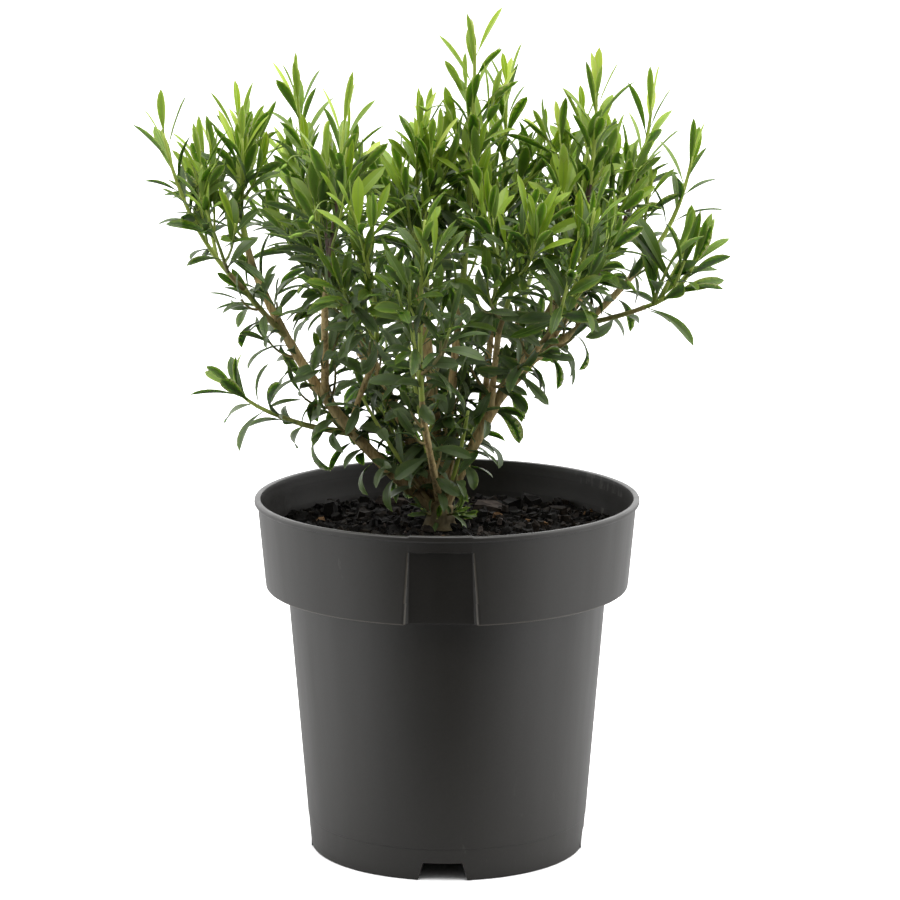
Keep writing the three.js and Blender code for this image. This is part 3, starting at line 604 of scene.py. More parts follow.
def plastic_material(name, painted_light_scale, sheen, rubbed=False):
    """Matte moulded plastic, dark warm grey, with faint drag marks and dust, and scuffs here and there or,
    on a rubbed wall, along its right. Its colour is scaled by a factor: below 1 as painted shade, above 1 as
    a painted highlight."""
    material = new_material(name, (0.014, 0.0135, 0.0125), 0.46, Specular_IOR_Level=sheen)
    nodes = Nodes(material)
    # Base colour scaled for painted shade or a painted highlight
    dull = np.array([0.008, 0.0068, 0.0048]) * painted_light_scale
    base = nodes.ramp(nodes.noise(14, 5), (0.3, dull), (0.7, dull * 1.4))
    dusty = nodes.mix(nodes.span(nodes.noise(900, 2), 0.35, 0.75, 0, 0.06), base, (0.055, 0.052, 0.047))
    if rubbed:
        least = 0.52
        where = nodes.span(nodes.coordinate("X"), 0.062, 0.085, 0, 1)
    else:
        least = 0.66
        where = nodes.span(nodes.noise(11, 2), 0.56, 0.72, 0, 1)
    marks = nodes.span(nodes.noise(190, 4, stretch=(1, 1, 0.35)), least, least + 0.1, 0, 0.5)
    colour = nodes.mix(nodes.times(marks, where), dusty, (0.12, 0.115, 0.105))
    shader = nodes.surface(colour, nodes.noise(1400, 3), 0.12, 0.0002)
    streaks = nodes.noise(60, 3, stretch=(1, 1, 0.06))
    nodes.set(shader.inputs["Roughness"], nodes.span(streaks, 0.25, 0.75, 0.4, 0.52))
    return material


def peat_material():
    """Fine dark part of the potting mix between its bark chips."""
    material = new_material("potting_mix_fines", (0.012, 0.009, 0.006), 0.95, Specular_IOR_Level=0.15)
    nodes = Nodes(material)
    grain = nodes.noise(420, 8, roughness=0.7)
    colour = nodes.ramp(grain, (0.3, (0.001, 0.0008, 0.0006)), (0.55, (0.0042, 0.0032, 0.0022)),
                        (0.72, (0.014, 0.01, 0.006)))
    nodes.surface(colour, grain, 0.9, 0.0012)
    return material


def chip_material(name, dark, light):
    """Split bark, streaked along its grain."""
    material = new_material(name, light, 0.9, Specular_IOR_Level=0.2)
    nodes = Nodes(material)
    grain = nodes.noise(520, 5, stretch=(0.35, 1, 1), distortion=0.4)
    nodes.surface(nodes.ramp(grain, (0.32, dark), (0.68, light)), grain, 0.6, 0.0006)
    return material


def bark_material():
    """Tan-brown bark with darker cracks along the stem and greyer patches, damp and dark at its foot."""
    material = new_material("ridged_bark", (0.2, 0.13, 0.07), 0.86)
    nodes = Nodes(material)
    cracks = nodes.noise(750, 6, stretch=(1, 1, 0.16), distortion=0.5)
    base = nodes.ramp(cracks, (0.28, (0.19, 0.12, 0.045)), (0.5, (0.53, 0.38, 0.16)),
                      (0.74, (0.7, 0.55, 0.27)))
    grey = nodes.mix(nodes.span(nodes.noise(90, 3), 0.45, 0.7, 0, 0.5), base, (0.45, 0.41, 0.2))
    damp = nodes.span(nodes.coordinate("Z"), 0.176, 0.2, 0.85, 0)
    nodes.surface(nodes.mix(damp, grey, (0.03, 0.024, 0.01)), cracks, 0.5, 0.0005)
    return material


def young_bark_material():
    """Green bark of a young bough, browner in patches and faintly streaked along it."""
    material = new_material("green_bark", (0.2, 0.23, 0.05), 0.6)
    nodes = Nodes(material)
    streaks = nodes.noise(800, 4, stretch=(0.2, 1, 1), distortion=0.3)
    green = nodes.ramp(streaks, (0.3, (0.16, 0.19, 0.035)), (0.7, (0.32, 0.36, 0.08)))
    patches = nodes.span(nodes.noise(60, 3), 0.42, 0.62, 0, 0.75)
    nodes.surface(nodes.mix(patches, green, (0.3, 0.22, 0.09)), streaks, 0.3, 0.0003)
    return material


def leaf_material(name, colour, roughness=0.42):
    """Leaf with a satin face that lets a little light through."""
    return new_material(
        name, colour, roughness, Subsurface_Weight=0.2, Subsurface_Radius=(0.6, 1.0, 0.25),
        Subsurface_Scale=0.0008, Specular_IOR_Level=0.26)


# Pot

def recess_at(height):
    """The label recess at a height: its half width, the width of its slanted side edge, and its depth."""
    levels = [POT.ledge, RECESS.top]
    ends = ((RECESS.foot_width / 2, RECESS.top_width / 2), (RECESS.foot_edge, RECESS.top_edge),
            (RECESS.foot_depth, RECESS.top_depth))
    return [np.interp(height, levels, pair) for pair in ends]


def pot_ring(shares, radius, height, sunk, raised):
    """One ring of the pot; sunk and raised are how much of the recess and the pad it has."""
    half_width, edge, depth = recess_at(height)
    edge_angle = np.arcsin(half_width / POT.collar_top_radius)
    size = np.abs(shares)
    angle = np.where(size <= 1, size * edge_angle,
                     edge_angle + (size - 1) / (BACK - 1) * (np.pi - edge_angle))
    angle = np.where(shares < 0, -angle, angle) + math.radians(POT.turn)
    inside = np.clip((1 - size) * half_width / edge, 0, 1)
    flat = (radius * np.cos(edge_angle) - depth) / np.cos(np.minimum(size, 1) * edge_angle)
    reach = radius - np.maximum(radius - flat, 0) * sunk * inside
    pad = RECESS.pad * raised * smooth_step((1 - size) / RECESS.pad_fade)
    return np.stack([reach * np.sin(angle), -reach * np.cos(angle), height + pad], axis=-1)


def arc(radius, height, bend, start, end, steps):
    """Points of the profile on an arc round a centre, from one angle to another in degrees."""
    angles = np.radians(np.linspace(start, end, steps))
    return [(radius + bend * math.cos(a), height + bend * math.sin(a)) for a in angles]


def pot_profile():
    """Rings of the pot's skin from the middle of the floor outside, over the rim, to the middle inside:
    radius, height, share of the recess, share of the pad."""
    p = POT
    ledge = p.ledge
    ledge_inside = ledge + p.wall
    top = RECESS.top
    rim_foot = p.height - p.rim_height
    collar_inside, shoulder_inside, foot_inside = (
        radius - p.wall for radius in (p.collar_top_radius, p.shoulder_radius, p.foot_radius))
    rings = []

    def add(points, sunk=0, raised=0):
        rings.extend((radius, height, sunk, raised) for radius, height in points)

    def body(z):
        return lerp(p.foot_radius, p.shoulder_radius, (z - p.foot_round) / (ledge - p.foot_round))

    def collar(z):
        return lerp(p.collar_foot_radius, p.collar_top_radius, (z - ledge) / (rim_foot - ledge))

    # Underside and body, a step wider above its ring line
    add((radius, 0.0) for radius in (*FLOOR_RINGS, 68))
    add(arc(p.foot_radius - p.foot_round, p.foot_round, p.foot_round, -90, 0, 5))
    add((body(z), z) for z in (5, 9.5, 13, p.ring_line - 0.2))
    add((body(z) + p.ring_step, z) for z in (p.ring_line + 0.1, *np.linspace(22, 137, 14)))
    # Ledge, collar and the top edge of the recess
    add(arc(body(ledge) + p.ledge_inset, ledge - p.ledge_round, p.ledge_round, 180, 90, 5))
    for radius, sunk in ((86.5, 0), (90, 0.35), (92.5, 1)):
        add([(radius, ledge)], sunk)
    add(arc(p.collar_foot_radius - p.collar_round, ledge + p.collar_round, p.collar_round, -90, 0, 5), 1)
    add(((collar(z), z) for z in np.linspace(ledge + 3, top - 1.4, 9)), 1)
    for below, sunk in RECESS_TOP:
        add([(collar(top - below), top - below)], sunk)
    # Rim bead and the lip inside it
    add([(collar(rim_foot - 0.6), rim_foot - 0.6), (collar(rim_foot) + 0.1, rim_foot - 0.1)])
    bead = p.rim_radius - p.rim_round
    add(arc(bead, rim_foot + p.rim_round, p.rim_round, -80, 0, 5))
    add(arc(bead, p.height - p.rim_round, p.rim_round, 0, 90, 6), raised=1)
    add(arc(collar_inside + p.lip_round, p.height - p.lip_round - p.lip_drop, p.lip_round, 90, 180, 4),
        raised=1)
    # Inside of the collar, of the ledge, of the body and of the floor
    add([(collar_inside - 0.1, rim_foot), (collar_inside - 0.2, top + 2)])
    add([(collar_inside - 0.3, top + 1)], 1)
    add(((lerp(p.collar_foot_radius - p.wall, collar_inside, s), lerp(ledge_inside + 1, top, s))
         for s in np.linspace(0.95, 0, 6)), 1)
    add([(91, ledge_inside)], 0.5)
    add([(shoulder_inside + 2, ledge_inside), (shoulder_inside, ledge - 0.5)])
    add((lerp(foot_inside, shoulder_inside, s), lerp(p.floor + 1, ledge, s)) for s in (0.75, 0.5, 0.25, 0))
    add((radius, p.floor) for radius in (foot_inside - 1, *FLOOR_RINGS[::-1]))
    return rings


def channel_turns():
    return [math.radians(POT.turn + 360 / CHANNEL.count * k) for k in range(CHANNEL.count)]


def channel_bars(grow, low, reach):
    """A trapezoid bar out from the middle along each drainage channel, larger than it by grow."""
    c = CHANNEL
    foot = c.foot_width / 2 + grow
    top = c.top_width / 2 + grow
    section = [(-foot, low), (foot, low), (top, c.height + grow), (-top, c.height + grow)]
    bar = np.array([(x, -y, z) for y in (c.inner_reach - grow, reach) for x, z in section], dtype=float)
    quads = [(3, 2, 1, 0), (4, 5, 6, 7), (1, 5, 4, 0), (2, 6, 5, 1), (3, 7, 6, 2), (0, 4, 7, 3)]
    bars = Sheets()
    for turn in channel_turns():
        bars.add(turned(bar, turn), quads)
    return bars.piece("channel_bars", [])


def hole_drills():
    """A round drill through the roof of each drainage channel."""
    c = CHANNEL
    angles = circle(c.hole_sides)
    ring = np.stack([c.hole_radius * np.cos(angles), c.hole_radius * np.sin(angles) - c.hole_reach,
                     np.zeros(c.hole_sides)], axis=-1)
    centre = np.array([0, -c.hole_reach, 0])
    low, high = UP * c.hole_low, UP * c.hole_high
    vertices, quads, triangles = capped([ring + low, ring + high], centre + low, centre + high)
    drills = Sheets()
    for turn in channel_turns():
        drills.add(turned(vertices, turn), quads, triangles)
    return drills.piece("hole_drills", [])


def cut(target, cutter):
    """Cuts one mesh out of another, and removes the cutter."""
    modifier = target.modifiers.new("cut", "BOOLEAN")
    modifier.operation = "DIFFERENCE"
    modifier.object = cutter
    modifier.solver = "EXACT"
    depsgraph = bpy.context.evaluated_depsgraph_get()
    mesh = bpy.data.meshes.new_from_object(target.evaluated_get(depsgraph))
    target.modifiers.clear()
    old = target.data
    target.data = mesh
    bpy.data.meshes.remove(old)
    mesh.name = target.name
    bpy.data.objects.remove(cutter)


def pot_looks(pot):
    """The look of each face of the pot: 1 in the label recess, darker as painted shade, 2 on the inner wall,
    3 on the collar's thin lower edge and the recess's side edges, lighter as a painted highlight, 0
    elsewhere."""
    looks = POT_LOOKS
    centres = np.array([tuple(face.center) for face in pot.data.polygons]) / MM
    reach = np.hypot(centres[:, 0], centres[:, 1])
    x, y, z = turned(centres, math.radians(-POT.turn)).T
    half_width, edge, _ = recess_at(z)
    half = half_width - edge
    front = (y < -looks.front) & (z > POT.ledge) & (z < RECESS.top - looks.under_top)
    # Faces of the label recess take a darker copy of the plastic: painted shade
    in_recess = front & (np.abs(x) < half)
    # The recess's side edges and the collar's thin lower edge take a lighter copy of the plastic: a painted
    # highlight
    highlit_side_edge = front & (np.abs(np.abs(x) - half - looks.side_place) < looks.side_width)
    highlit_low_edge = ((z > POT.ledge - looks.below_ledge) & (z < POT.ledge + looks.above_ledge)
                & (reach > POT.collar_foot_radius - looks.ledge_width))
    skin = np.interp(z, [POT.ledge, POT.height], [POT.collar_foot_radius, POT.collar_top_radius])
    inner = (reach < skin - looks.inner_depth * POT.wall) & (z > POT.ledge + looks.inner_from)
    return np.select([in_recess, highlit_low_edge | highlit_side_edge, inner], [1, 3, 2], 0)


def make_pot():
    """The pot's shell, with its drainage channels cut out of the floor and covered inside."""
    # Copies of the plastic: plain; darker and less glossy in the recess, as painted shade; scuffed on the
    # inner wall; five times lighter on the thin edges, as a painted highlight
    looks = [plastic_material("matte_pot_plastic", 1.0, 0.7),
             plastic_material("recess_plastic", 0.75, 0.46),
             plastic_material("scuffed_inner_plastic", 1.0, 0.6, rubbed=True),
             plastic_material("edge_plastic", 5.0, 0.8)]
    shares = np.concatenate([COLUMNS, -COLUMNS[1:-1][::-1]])
    rings = [pot_ring(shares, *row) for row in pot_profile()]
    pot = mesh_piece("pot_shell", *capped(rings, UP * 0, UP * POT.floor), materials=looks[:1])
    cut(pot, channel_bars(0, -1, CHANNEL.outer_reach))
    covers = channel_bars(POT.wall, CHANNEL.cover_foot, CHANNEL.cover_reach)
    cut(covers, channel_bars(0, -1, CHANNEL.outer_reach))
    cut(covers, hole_drills())
    with bpy.context.temp_override(active_object=pot, selected_editable_objects=[pot, covers]):
        bpy.ops.object.join()
    pot.data.materials.clear()
    for look in looks:
        pot.data.materials.append(look)
    pot.data.polygons.foreach_set("material_index", pot_looks(pot))
    pot.data.polygons.foreach_set("use_smooth", np.ones(len(pot.data.polygons), dtype=bool))
    pot.data.set_sharp_from_angle(angle=math.radians(POT_LOOKS.sharp))
    adopt(pot, "pot_plastic", "pot")


# Potting mix

def mix_level(x, y):
    """Height of the mix's top, before its bark chips: a low mound with clods, even next to the stem."""
    mound = lerp(MIX.foot_level, MIX.wall_level, smooth_step(math.hypot(x, y) / MIX.flat_reach))
    clods = sum(height * noise.noise(Vector((x / width, y / width, layer)))
                for height, width, layer in CLODS)
    from_stem = smooth_step((math.hypot(x - TRUNK.x, y) - TRUNK.foot_radius) / MIX.even_ring)
    return float(mound + clods * from_stem) - MIX.sunk


def make_mix():
    """The mix as one closed skin, drawn in from the back of the label recess."""
    angles = circle(MIX.columns)
    top = POT.collar_top_radius - POT.wall - MIX.wall_gap
    rings = []
    for radius, height in MIX_SIDE:
        rings.append((radius * np.cos(angles), radius * np.sin(angles), np.full(MIX.columns, height)))
    for radius in np.linspace(top, 2, MIX.rows):
        x = radius * np.cos(angles)
        y = radius * np.sin(angles)
        rings.append((x, y, [mix_level(px, py) for px, py in zip(x, y)]))
    rings = np.array(rings).transpose(0, 2, 1)
    limit = -(POT.collar_foot_radius - MIX.recess_lead - RECESS.foot_depth - POT.wall - MIX.recess_gap)
    near = (np.abs(rings[..., 0]) < RECESS.foot_width / 2 + MIX.recess_side) & (rings[..., 2] > POT.ledge)
    rings[near, 1] = np.maximum(rings[near, 1], limit)
    skin = capped(rings, UP * MIX.underside, UP * mix_level(0, 0))
    adopt(mesh_piece("mix_fines", *skin, materials=[peat_material()]), "bark_mix", "potting_mix")


def chip_shape(draw, length, width, thickness):
    """One split chip: a six-sided slab with uneven corners."""
    lower = []
    upper = []
    for angle in np.arange(6) / 6 * 2 * np.pi:
        reach = lerp(*CHIP_CORNERS.reach, draw())
        x = 0.5 * length * math.cos(angle) * reach
        y = 0.5 * width * math.sin(angle) * reach
        inward = lerp(*CHIP_CORNERS.drawn_in, draw())
        lower.append((x, y, -thickness / 2 * lerp(*CHIP_CORNERS.below, draw())))
        upper.append((x * inward, y * inward, thickness / 2 * lerp(*CHIP_CORNERS.above, draw())))
    return np.array(lower + upper)


CHIP_QUADS = np.concatenate([grid_quads(2, 6), [(5, 4, 3, 2), (5, 2, 1, 0), (6, 7, 8, 9), (6, 9, 10, 11)]])


def make_chips():
    """Bark chips strewn over the mix, and larger pieces at their own places."""
    draw = Draws(CHIPS.seed)
    heaps = {name: Sheets() for name, *_ in CHIP_LOOKS}
    for _ in range(CHIPS.count):
        reach = CHIPS.reach * math.sqrt(draw())
        angle = 2 * math.pi * draw()
        x = reach * math.cos(angle)
        y = reach * math.sin(angle)
        size = CHIPS.smallest + CHIPS.spread * draw() ** CHIPS.rarity
        width = size * lerp(*CHIPS.width, draw())
        thickness = size * lerp(*CHIPS.thickness, draw()) + CHIPS.thinnest
        points = chip_shape(draw, size, width, thickness)
        points = turned(points, 2 * math.pi * draw(), spread_round(0, CHIPS.tilt, draw),
                        spread_round(0, CHIPS.tilt, draw))
        points += (x, y, mix_level(x, y) + CHIPS.heaped * size * draw() + CHIPS.raised)
        share = draw()
        outside = np.hypot(points[:, 0], points[:, 1]).max() > CHIPS.wall
        in_recess = points[:, 1].min() < -CHIPS.recess and abs(x) < CHIPS.recess_half
        near_stem = math.hypot(x - TRUNK.x, y) < CHIPS.stem
        if not (outside or in_recess or near_stem):
            heap = next(name for name, *_, limit in CHIP_LOOKS if share < limit)
            heaps[heap].add(points, CHIP_QUADS)
    for name, x, y, length, width, thickness, turn in CHUNKS:
        points = turned(chip_shape(draw, length, width, thickness), math.radians(turn), *CHUNK_TILT)
        heaps[name].add(points + (x, y, mix_level(x, y) + CHUNK_RAISE * thickness), CHIP_QUADS)
    for name, material, dark, light, _ in CHIP_LOOKS:
        chips = heaps[name].piece(name, [chip_material(material, dark, light)], smooth=False)
        adopt(chips, "bark_mix")


# Limbs

def frames_along(path, shares):
    """Two directions across a path at each share, carried along it without twist."""
    tangents = path.tangent(shares)
    start = np.cross(tangents[0], UP)
    if np.linalg.norm(start) < 0.05:
        start = np.array([1.0, 0, 0])
    across = [unit(start)]
    for tangent in tangents[1:]:
        carried = across[-1] - tangent * np.dot(across[-1], tangent)
        across.append(unit(carried))
    across = np.array(across)
    return across, np.cross(tangents, across)


def tube(path, radii, sides, shares, relief=0.0):
    """Closed tube along a path; relief is added to the radius at each ring and side."""
    across, beside = frames_along(path, shares)
    angles = circle(sides)
    reach = np.repeat(np.asarray(radii)[:, None], sides, axis=1) + relief
    rings = (path.point(shares)[:, None, :]
             + reach[..., None] * (np.cos(angles)[None, :, None] * across[:, None, :]
                                   + np.sin(angles)[None, :, None] * beside[:, None, :]))
    return capped(rings, *path.point(shares[[0, -1]]))


def bark_relief(path, radii, shares, sides, seed):
    """Long ridges and cracks round a limb, with a swelling at each old leaf scar."""
    angles = circle(sides)
    relief = np.zeros((len(shares), sides))
    for i, share in enumerate(shares):
        along = share * path.length
        for j, angle in enumerate(angles):
            x, y = math.cos(angle), math.sin(angle)
            relief[i, j] = radii[i] * sum(
                depth * noise.noise(Vector((close * x, close * y, along / length + seed)))
                for depth, close, length in BARK_GRAIN)
        scar = math.sin(along / SCARS.distance + seed) ** SCARS.narrowness
        relief[i] += SCARS.height * scar * radii[i] * (0.6 + 0.4 * np.cos(angles - along))
    return relief


def trunk_path():
    t = TRUNK
    foot = np.array([t.x, t.y, t.foot])
    return Path(foot, foot + UP * t.rise / 2, foot + [t.lean_x, t.lean_y, t.rise])


def trunk_radius(share, angle=0.0):
    t = TRUNK
    stem = lerp(t.foot_radius, t.top_radius, share)
    flare = t.flare * np.exp(-share * t.rise / t.flare_rise)
    lobe = t.lobe_depth * np.exp(-share * t.lobe_fade) * np.cos(t.lobes * angle)
    return (stem + flare) * (1 + lobe)


def bough_path(bough, parent):
    start = parent.point(bough.at)
    end = placed(bough.turn, bough.reach, bough.rise)
    out = (1 - bough.lift) / 2
    climb = (1 + bough.lift) / 2
    return Path(start, start + (end - start) * [out, out, climb], end)


def make_limb_paths():
    limbs = {"trunk": trunk_path()}
    for bough in BOUGHS:
        limbs[bough.name] = bough_path(bough, limbs[bough.parent])
    return limbs


def make_trunk(path, bark):
    """The stump: flared at its foot, and drawn in over its fork between the boughs."""
    t = TRUNK
    fork_shares, fork_close = zip(*FORK)
    shares = np.concatenate([np.linspace(0, 0.9, t.rows), fork_shares])
    close = np.array([1.0] * t.rows + list(fork_close))
    angles = circle(t.sides)
    radii = np.array([trunk_radius(share) for share in shares]) * close
    relief = np.array([trunk_radius(share, angles) for share in shares]) * close[:, None] - radii[:, None]
    relief += bark_relief(path, radii, shares, t.sides, 3.7)
    trunk = mesh_piece("bark_trunk", *tube(path, radii, t.sides, shares, relief), materials=[bark])
    adopt(trunk, "bark", "trunk")


def make_bough(bough, path, bark):
    """One tapering limb with bark, a little wider where it leaves its parent."""
    skin = BOUGH_SKIN
    shares = np.linspace(0, 1, max(skin.least_rings, int(path.length / skin.ring_distance)))
    swelling = skin.foot_swelling * bough.foot * np.exp(-shares * path.length / skin.foot_length)
    radii = lerp(bough.foot, bough.tip, shares) + swelling
    relief = bark_relief(path, radii, shares, skin.sides, len(bough.name) * 1.7 + bough.foot)
    piece = mesh_piece("bark_" + bough.name, *tube(path, radii, skin.sides, shares, relief),
                       materials=[bark])
    adopt(piece, "bark", "bough_" + bough.name)


# Shoots

class Stem:
    """One green stem: its path and radii, the age of its leaves at its foot and its tip, the spray that it
    belongs to, its order of branching, its look, and the size and the places of its leaves."""

    def __init__(self, path, radius, tip_radius, age, spray, order, tip_age=None, look="plain", vigour=1.0):
        low, high = FRESH.level
        fresh = float(smooth_step((path.point(1.0)[2] - low) / (high - low)))
        self.path = path
        self.radius = radius
        self.tip_radius = tip_radius
        self.age = min(age, lerp(*FRESH.foot_age, fresh))
        self.tip_age = lerp(*FRESH.tip_age, fresh) if tip_age is None else tip_age
        self.spray = spray
        self.order = order
        self.look = look
        self.vigour = vigour
        self.openness = None
        self.tip_angle = TUFT.angle
        self.bare_foot = BARE_FOOT[min(order, 1)]


def shoot_path(shoot, limbs):
    bough = limbs[shoot.name]
    start = bough.point(1.0)
    end = placed(shoot.turn, shoot.reach, shoot.rise)
    middle = start + bough.tangent(1.0) * np.linalg.norm(end - start) * LEADER.bend
    middle[:2] = lerp(middle[:2], end[:2], LEADER.upright)
    return Path(start, middle, end)


def sprig_path(sprig, limbs):
    start = limbs["trunk"].point(sprig.at)
    end = placed(sprig.turn, sprig.reach, sprig.rise)
    turn = math.radians(sprig.turn)
    middle = (start + end) / 2 + SPRIG_BOW * np.array([math.cos(turn), math.sin(turn), 0])
    return Path(start, middle, end)


def line_distance(points, line):
    """Distance of each point from a line of straight steps."""
    start = line[:-1][None]
    way = np.diff(line, axis=0)[None]
    rel = points[:, None, :] - start
    share = np.clip((rel * way).sum(-1) / (way * way).sum(-1), 0, 1)
    return np.linalg.norm(rel - share[..., None] * way, axis=-1).min(axis=1)


def in_own_space(points, own, leaders):
    """Whether the points lie nearer their own leader than any other, and clear of the pot."""
    reach = np.hypot(points[:, 0], points[:, 1])
    if (points[:, 2] < MIX.foot_level + GAP.mix).any():
        return False
    if ((points[:, 2] < POT.height + GAP.rim) & (reach > POT.collar_foot_radius - GAP.rim)).any():
        return False
    mine = line_distance(points, leaders[own])
    return all((line_distance(points, line) >= mine + GAP.shoot).all()
               for name, line in leaders.items() if name != own)


def clear_of_limbs(points, stations):
    for places, radii in stations:
        gaps = np.linalg.norm(points[:, None, :] - places[None], axis=-1)
        if (gaps <= radii + GAP.limb).any():
            return False
    return True


def under_envelope(points):
    """Whether the points lie inside the crown's lower outline, which only the low shoots hang out of."""
    across = points[:, 0] - TRUNK.x
    reach = np.hypot(across, points[:, 1])
    rightward = (1 + across / np.maximum(reach, 1)) / 2
    left = np.interp(points[:, 2], ENVELOPE.heights, ENVELOPE.left)
    right = np.interp(points[:, 2], ENVELOPE.heights, ENVELOPE.right)
    return bool((reach < lerp(left, right, rightward)).all())


def within_crown(points):
    """Whether twig points stay over the mix, above the rim and inside the crown."""
    low = np.array(cad_box[0]) / MM + GAP.crown
    high = np.array(cad_box[1]) / MM - GAP.crown
    reach = np.hypot(points[:, 0], points[:, 1])
    over_rim = (points[:, 2] > POT.height + GAP.rim) | (reach < POT.collar_foot_radius - GAP.rim)
    over_mix = points[:, 2] > MIX.foot_level + GAP.mix
    in_box = (points[:, :2] > low[:2]).all() and (points < high).all()
    return under_envelope(points) and in_box and (over_rim & over_mix).all()


def side_twig(leader, share, turn, spread, lean=TWIG.angle, upward=False):
    """Side twig: it leaves the leader at an angle, and bends up until it runs beside it. An upward one
    leaves on the leader's upper side."""
    start = leader.point(share)
    along = leader.tangent(share)
    side = unit(np.cross(along, UP))
    beside = np.cross(along, side)
    angle = math.radians(turn)
    side = side * math.cos(angle) + beside * math.sin(angle)
    if upward and side[2] < 0:
        side = -side
    lean = math.radians(lean)
    heading = along * math.cos(lean) + side * math.sin(lean)
    length = spread * (1 - TWIG.shortening * share)
    middle = start + heading * length * TWIG.bend
    risen = unit(lerp(heading, along, TWIG.bend_along) + UP * TWIG.bend_up)
    return Path(start, middle, middle + risen * length * (1 - TWIG.bend))


def next_turn(turn, draw):
    """The spiral's next direction, in degrees."""
    return turn + spread_round(TWIG.angle_turn, TWIG.turn_spread, draw)


def spiral(count, rule, draw):
    """Places of side twigs: number, share of the path that bears them, and turn in degrees."""
    turn = 360 * draw()
    for k in range(count):
        share = lerp(rule.first, rule.last, spread_round(k + 0.5, rule.uneven, draw) / count)
        turn = next_turn(turn, draw)
        yield k, share, turn


def grow_shoot(name, leader, radius, twigs, spread, seed, leaders, stations):
    """Leader, the side twigs of the solids, and finer twigs between and on them."""
    draw = Draws(seed)
    look = "purple" if name in PURPLE_SHOOTS else "lime"
    vigour = VIGOUR.get(name, 1.0)
    low = name in LOW_SHOOTS
    stems = [Stem(Path(*leader.corners, LEADER.run_on), radius, LEADER.tip_radius, LEADER.age, seed, 0,
                  look=look, vigour=vigour)]
    for k, share, turn in spiral(twigs, TWIG, draw):
        path = side_twig(leader, share, turn, spread * spread_round(1, TWIG.length_spread, draw), upward=low)
        points = path.point(np.linspace(0, 1, LEADER.steps + 1))[2:]
        if (in_own_space(points, name, leaders) and clear_of_limbs(points, stations)
                and (low or under_envelope(points))):
            stems.append(Stem(path, TWIG.radius, TWIG.tip_radius, TWIG.age + TWIG.ageing * share,
                              seed + 31 * k, 1, look=look if k % 2 else "plain", vigour=vigour))
    if low:
        for stem in stems:
            stem.age, stem.tip_angle, stem.openness = LOW_SHOOTS[name]
            stem.tip_age = LOW_TIP_AGE
            stem.bare_foot = LOW_BARE_FOOT
    elif name not in SPARSE_SPRIGS:
        stems += grow_finer(stems, draw, stations)
    return stems


def grow_finer(coarse, draw, stations):
    """Twigs on the leader between the coarse ones, and one or two on each of these."""
    finer = []
    for stem in coarse:
        size = FINER.leader_length if stem.order == 0 else FINER.twig_length
        count = max(1, int(stem.path.length / FINER.spacing))
        for k, share, turn in spiral(count, FINER, draw):
            path = side_twig(stem.path, share, turn, size * spread_round(1, FINER.length_spread, draw),
                             FINER.angle)
            points = path.point(np.linspace(0.25, 1, 7))
            if within_crown(points) and clear_of_limbs(points, stations):
                age = lerp(stem.age, stem.tip_age, FINER.age + FINER.ageing * share)
                look = "plain" if stem.look == "purple" else stem.look
                finer.append(Stem(path, FINER.radius, FINER.tip_radius, age, stem.spray + 7 * k,
                                  stem.order + 1, look=look, vigour=stem.vigour))
    return finer


def grow_inner(limbs, stations):
    """Short twigs with dark leaves on the boughs, inside the crown."""
    draw = Draws(INNER.seed)
    stems = []
    for number, (name, bough) in enumerate(limbs.items()):
        if name == "trunk":
            continue
        count = int(bough.length / INNER.spacing * INNER_CROWDING.get(name, 1.0))
        for _, share, turn in spiral(count, INNER, draw):
            path = side_twig(bough, share, turn, lerp(INNER.shortest, INNER.longest, draw()), INNER.angle)
            points = path.point(np.linspace(0.3, 1, 7))
            if within_crown(points) and clear_of_limbs(points, stations):
                stems.append(Stem(path, INNER.radius, INNER.tip_radius, INNER.age, INNER.spray + number, 3,
                                  tip_age=INNER.tip_age))
    return stems


def grow_sprouts(trunk):
    """Short leafy sprouts round the foot of the trunk, which hide most of it."""
    s = SPROUTS
    draw = Draws(s.seed)
    stems = []
    turn = 2 * math.pi * draw()
    for k in range(s.count):
        turn += math.radians(next_turn(0, draw))
        reach = lerp(s.shortest, s.longest, draw())
        out = np.array([math.cos(turn), math.sin(turn), 0.0]) * reach
        start = trunk.point(lerp(s.first, s.last, draw()))
        path = Path(start, start + 0.6 * out, start + out + UP * s.rise * draw())
        stems.append(Stem(path, s.radius, s.tip_radius, s.age, s.spray + k, 3, tip_age=s.tip_age,
                          vigour=s.vigour))
    return stems


def limb_stations(limbs):
    """Places and radii along each limb, for the room that twigs keep to it."""
    marks = np.linspace(0, 1, 41)
    stations = [(limbs["trunk"].point(marks), np.array([[trunk_radius(share) for share in marks]]))]
    for bough in BOUGHS:
        stations.append((limbs[bough.name].point(marks), lerp(bough.foot, bough.tip, marks)[None]))
    return stations


def grow_plant(limbs):
    """All green stems: shoots, sprigs, twigs inside the crown and sprouts."""
    paths = {shoot.name: shoot_path(shoot, limbs) for shoot in SHOOTS}
    paths.update({sprig.name: sprig_path(sprig, limbs) for sprig in SPRIGS})
    steps = np.linspace(0, 1, LEADER.steps + 1)
    leaders = {name: path.point(steps) for name, path in paths.items()}
    tips = {bough.name: bough.tip for bough in BOUGHS}
    stations = limb_stations(limbs)
    stems = []
    for k, row in enumerate(SHOOTS + SPRIGS):
        stems += grow_shoot(row.name, paths[row.name], tips.get(row.name, SPRIG_RADIUS), row.twigs,
                            row.spread, FOLIAGE_SEED + k, leaders, stations)
    return stems + grow_inner(limbs, stations) + grow_sprouts(limbs["trunk"])


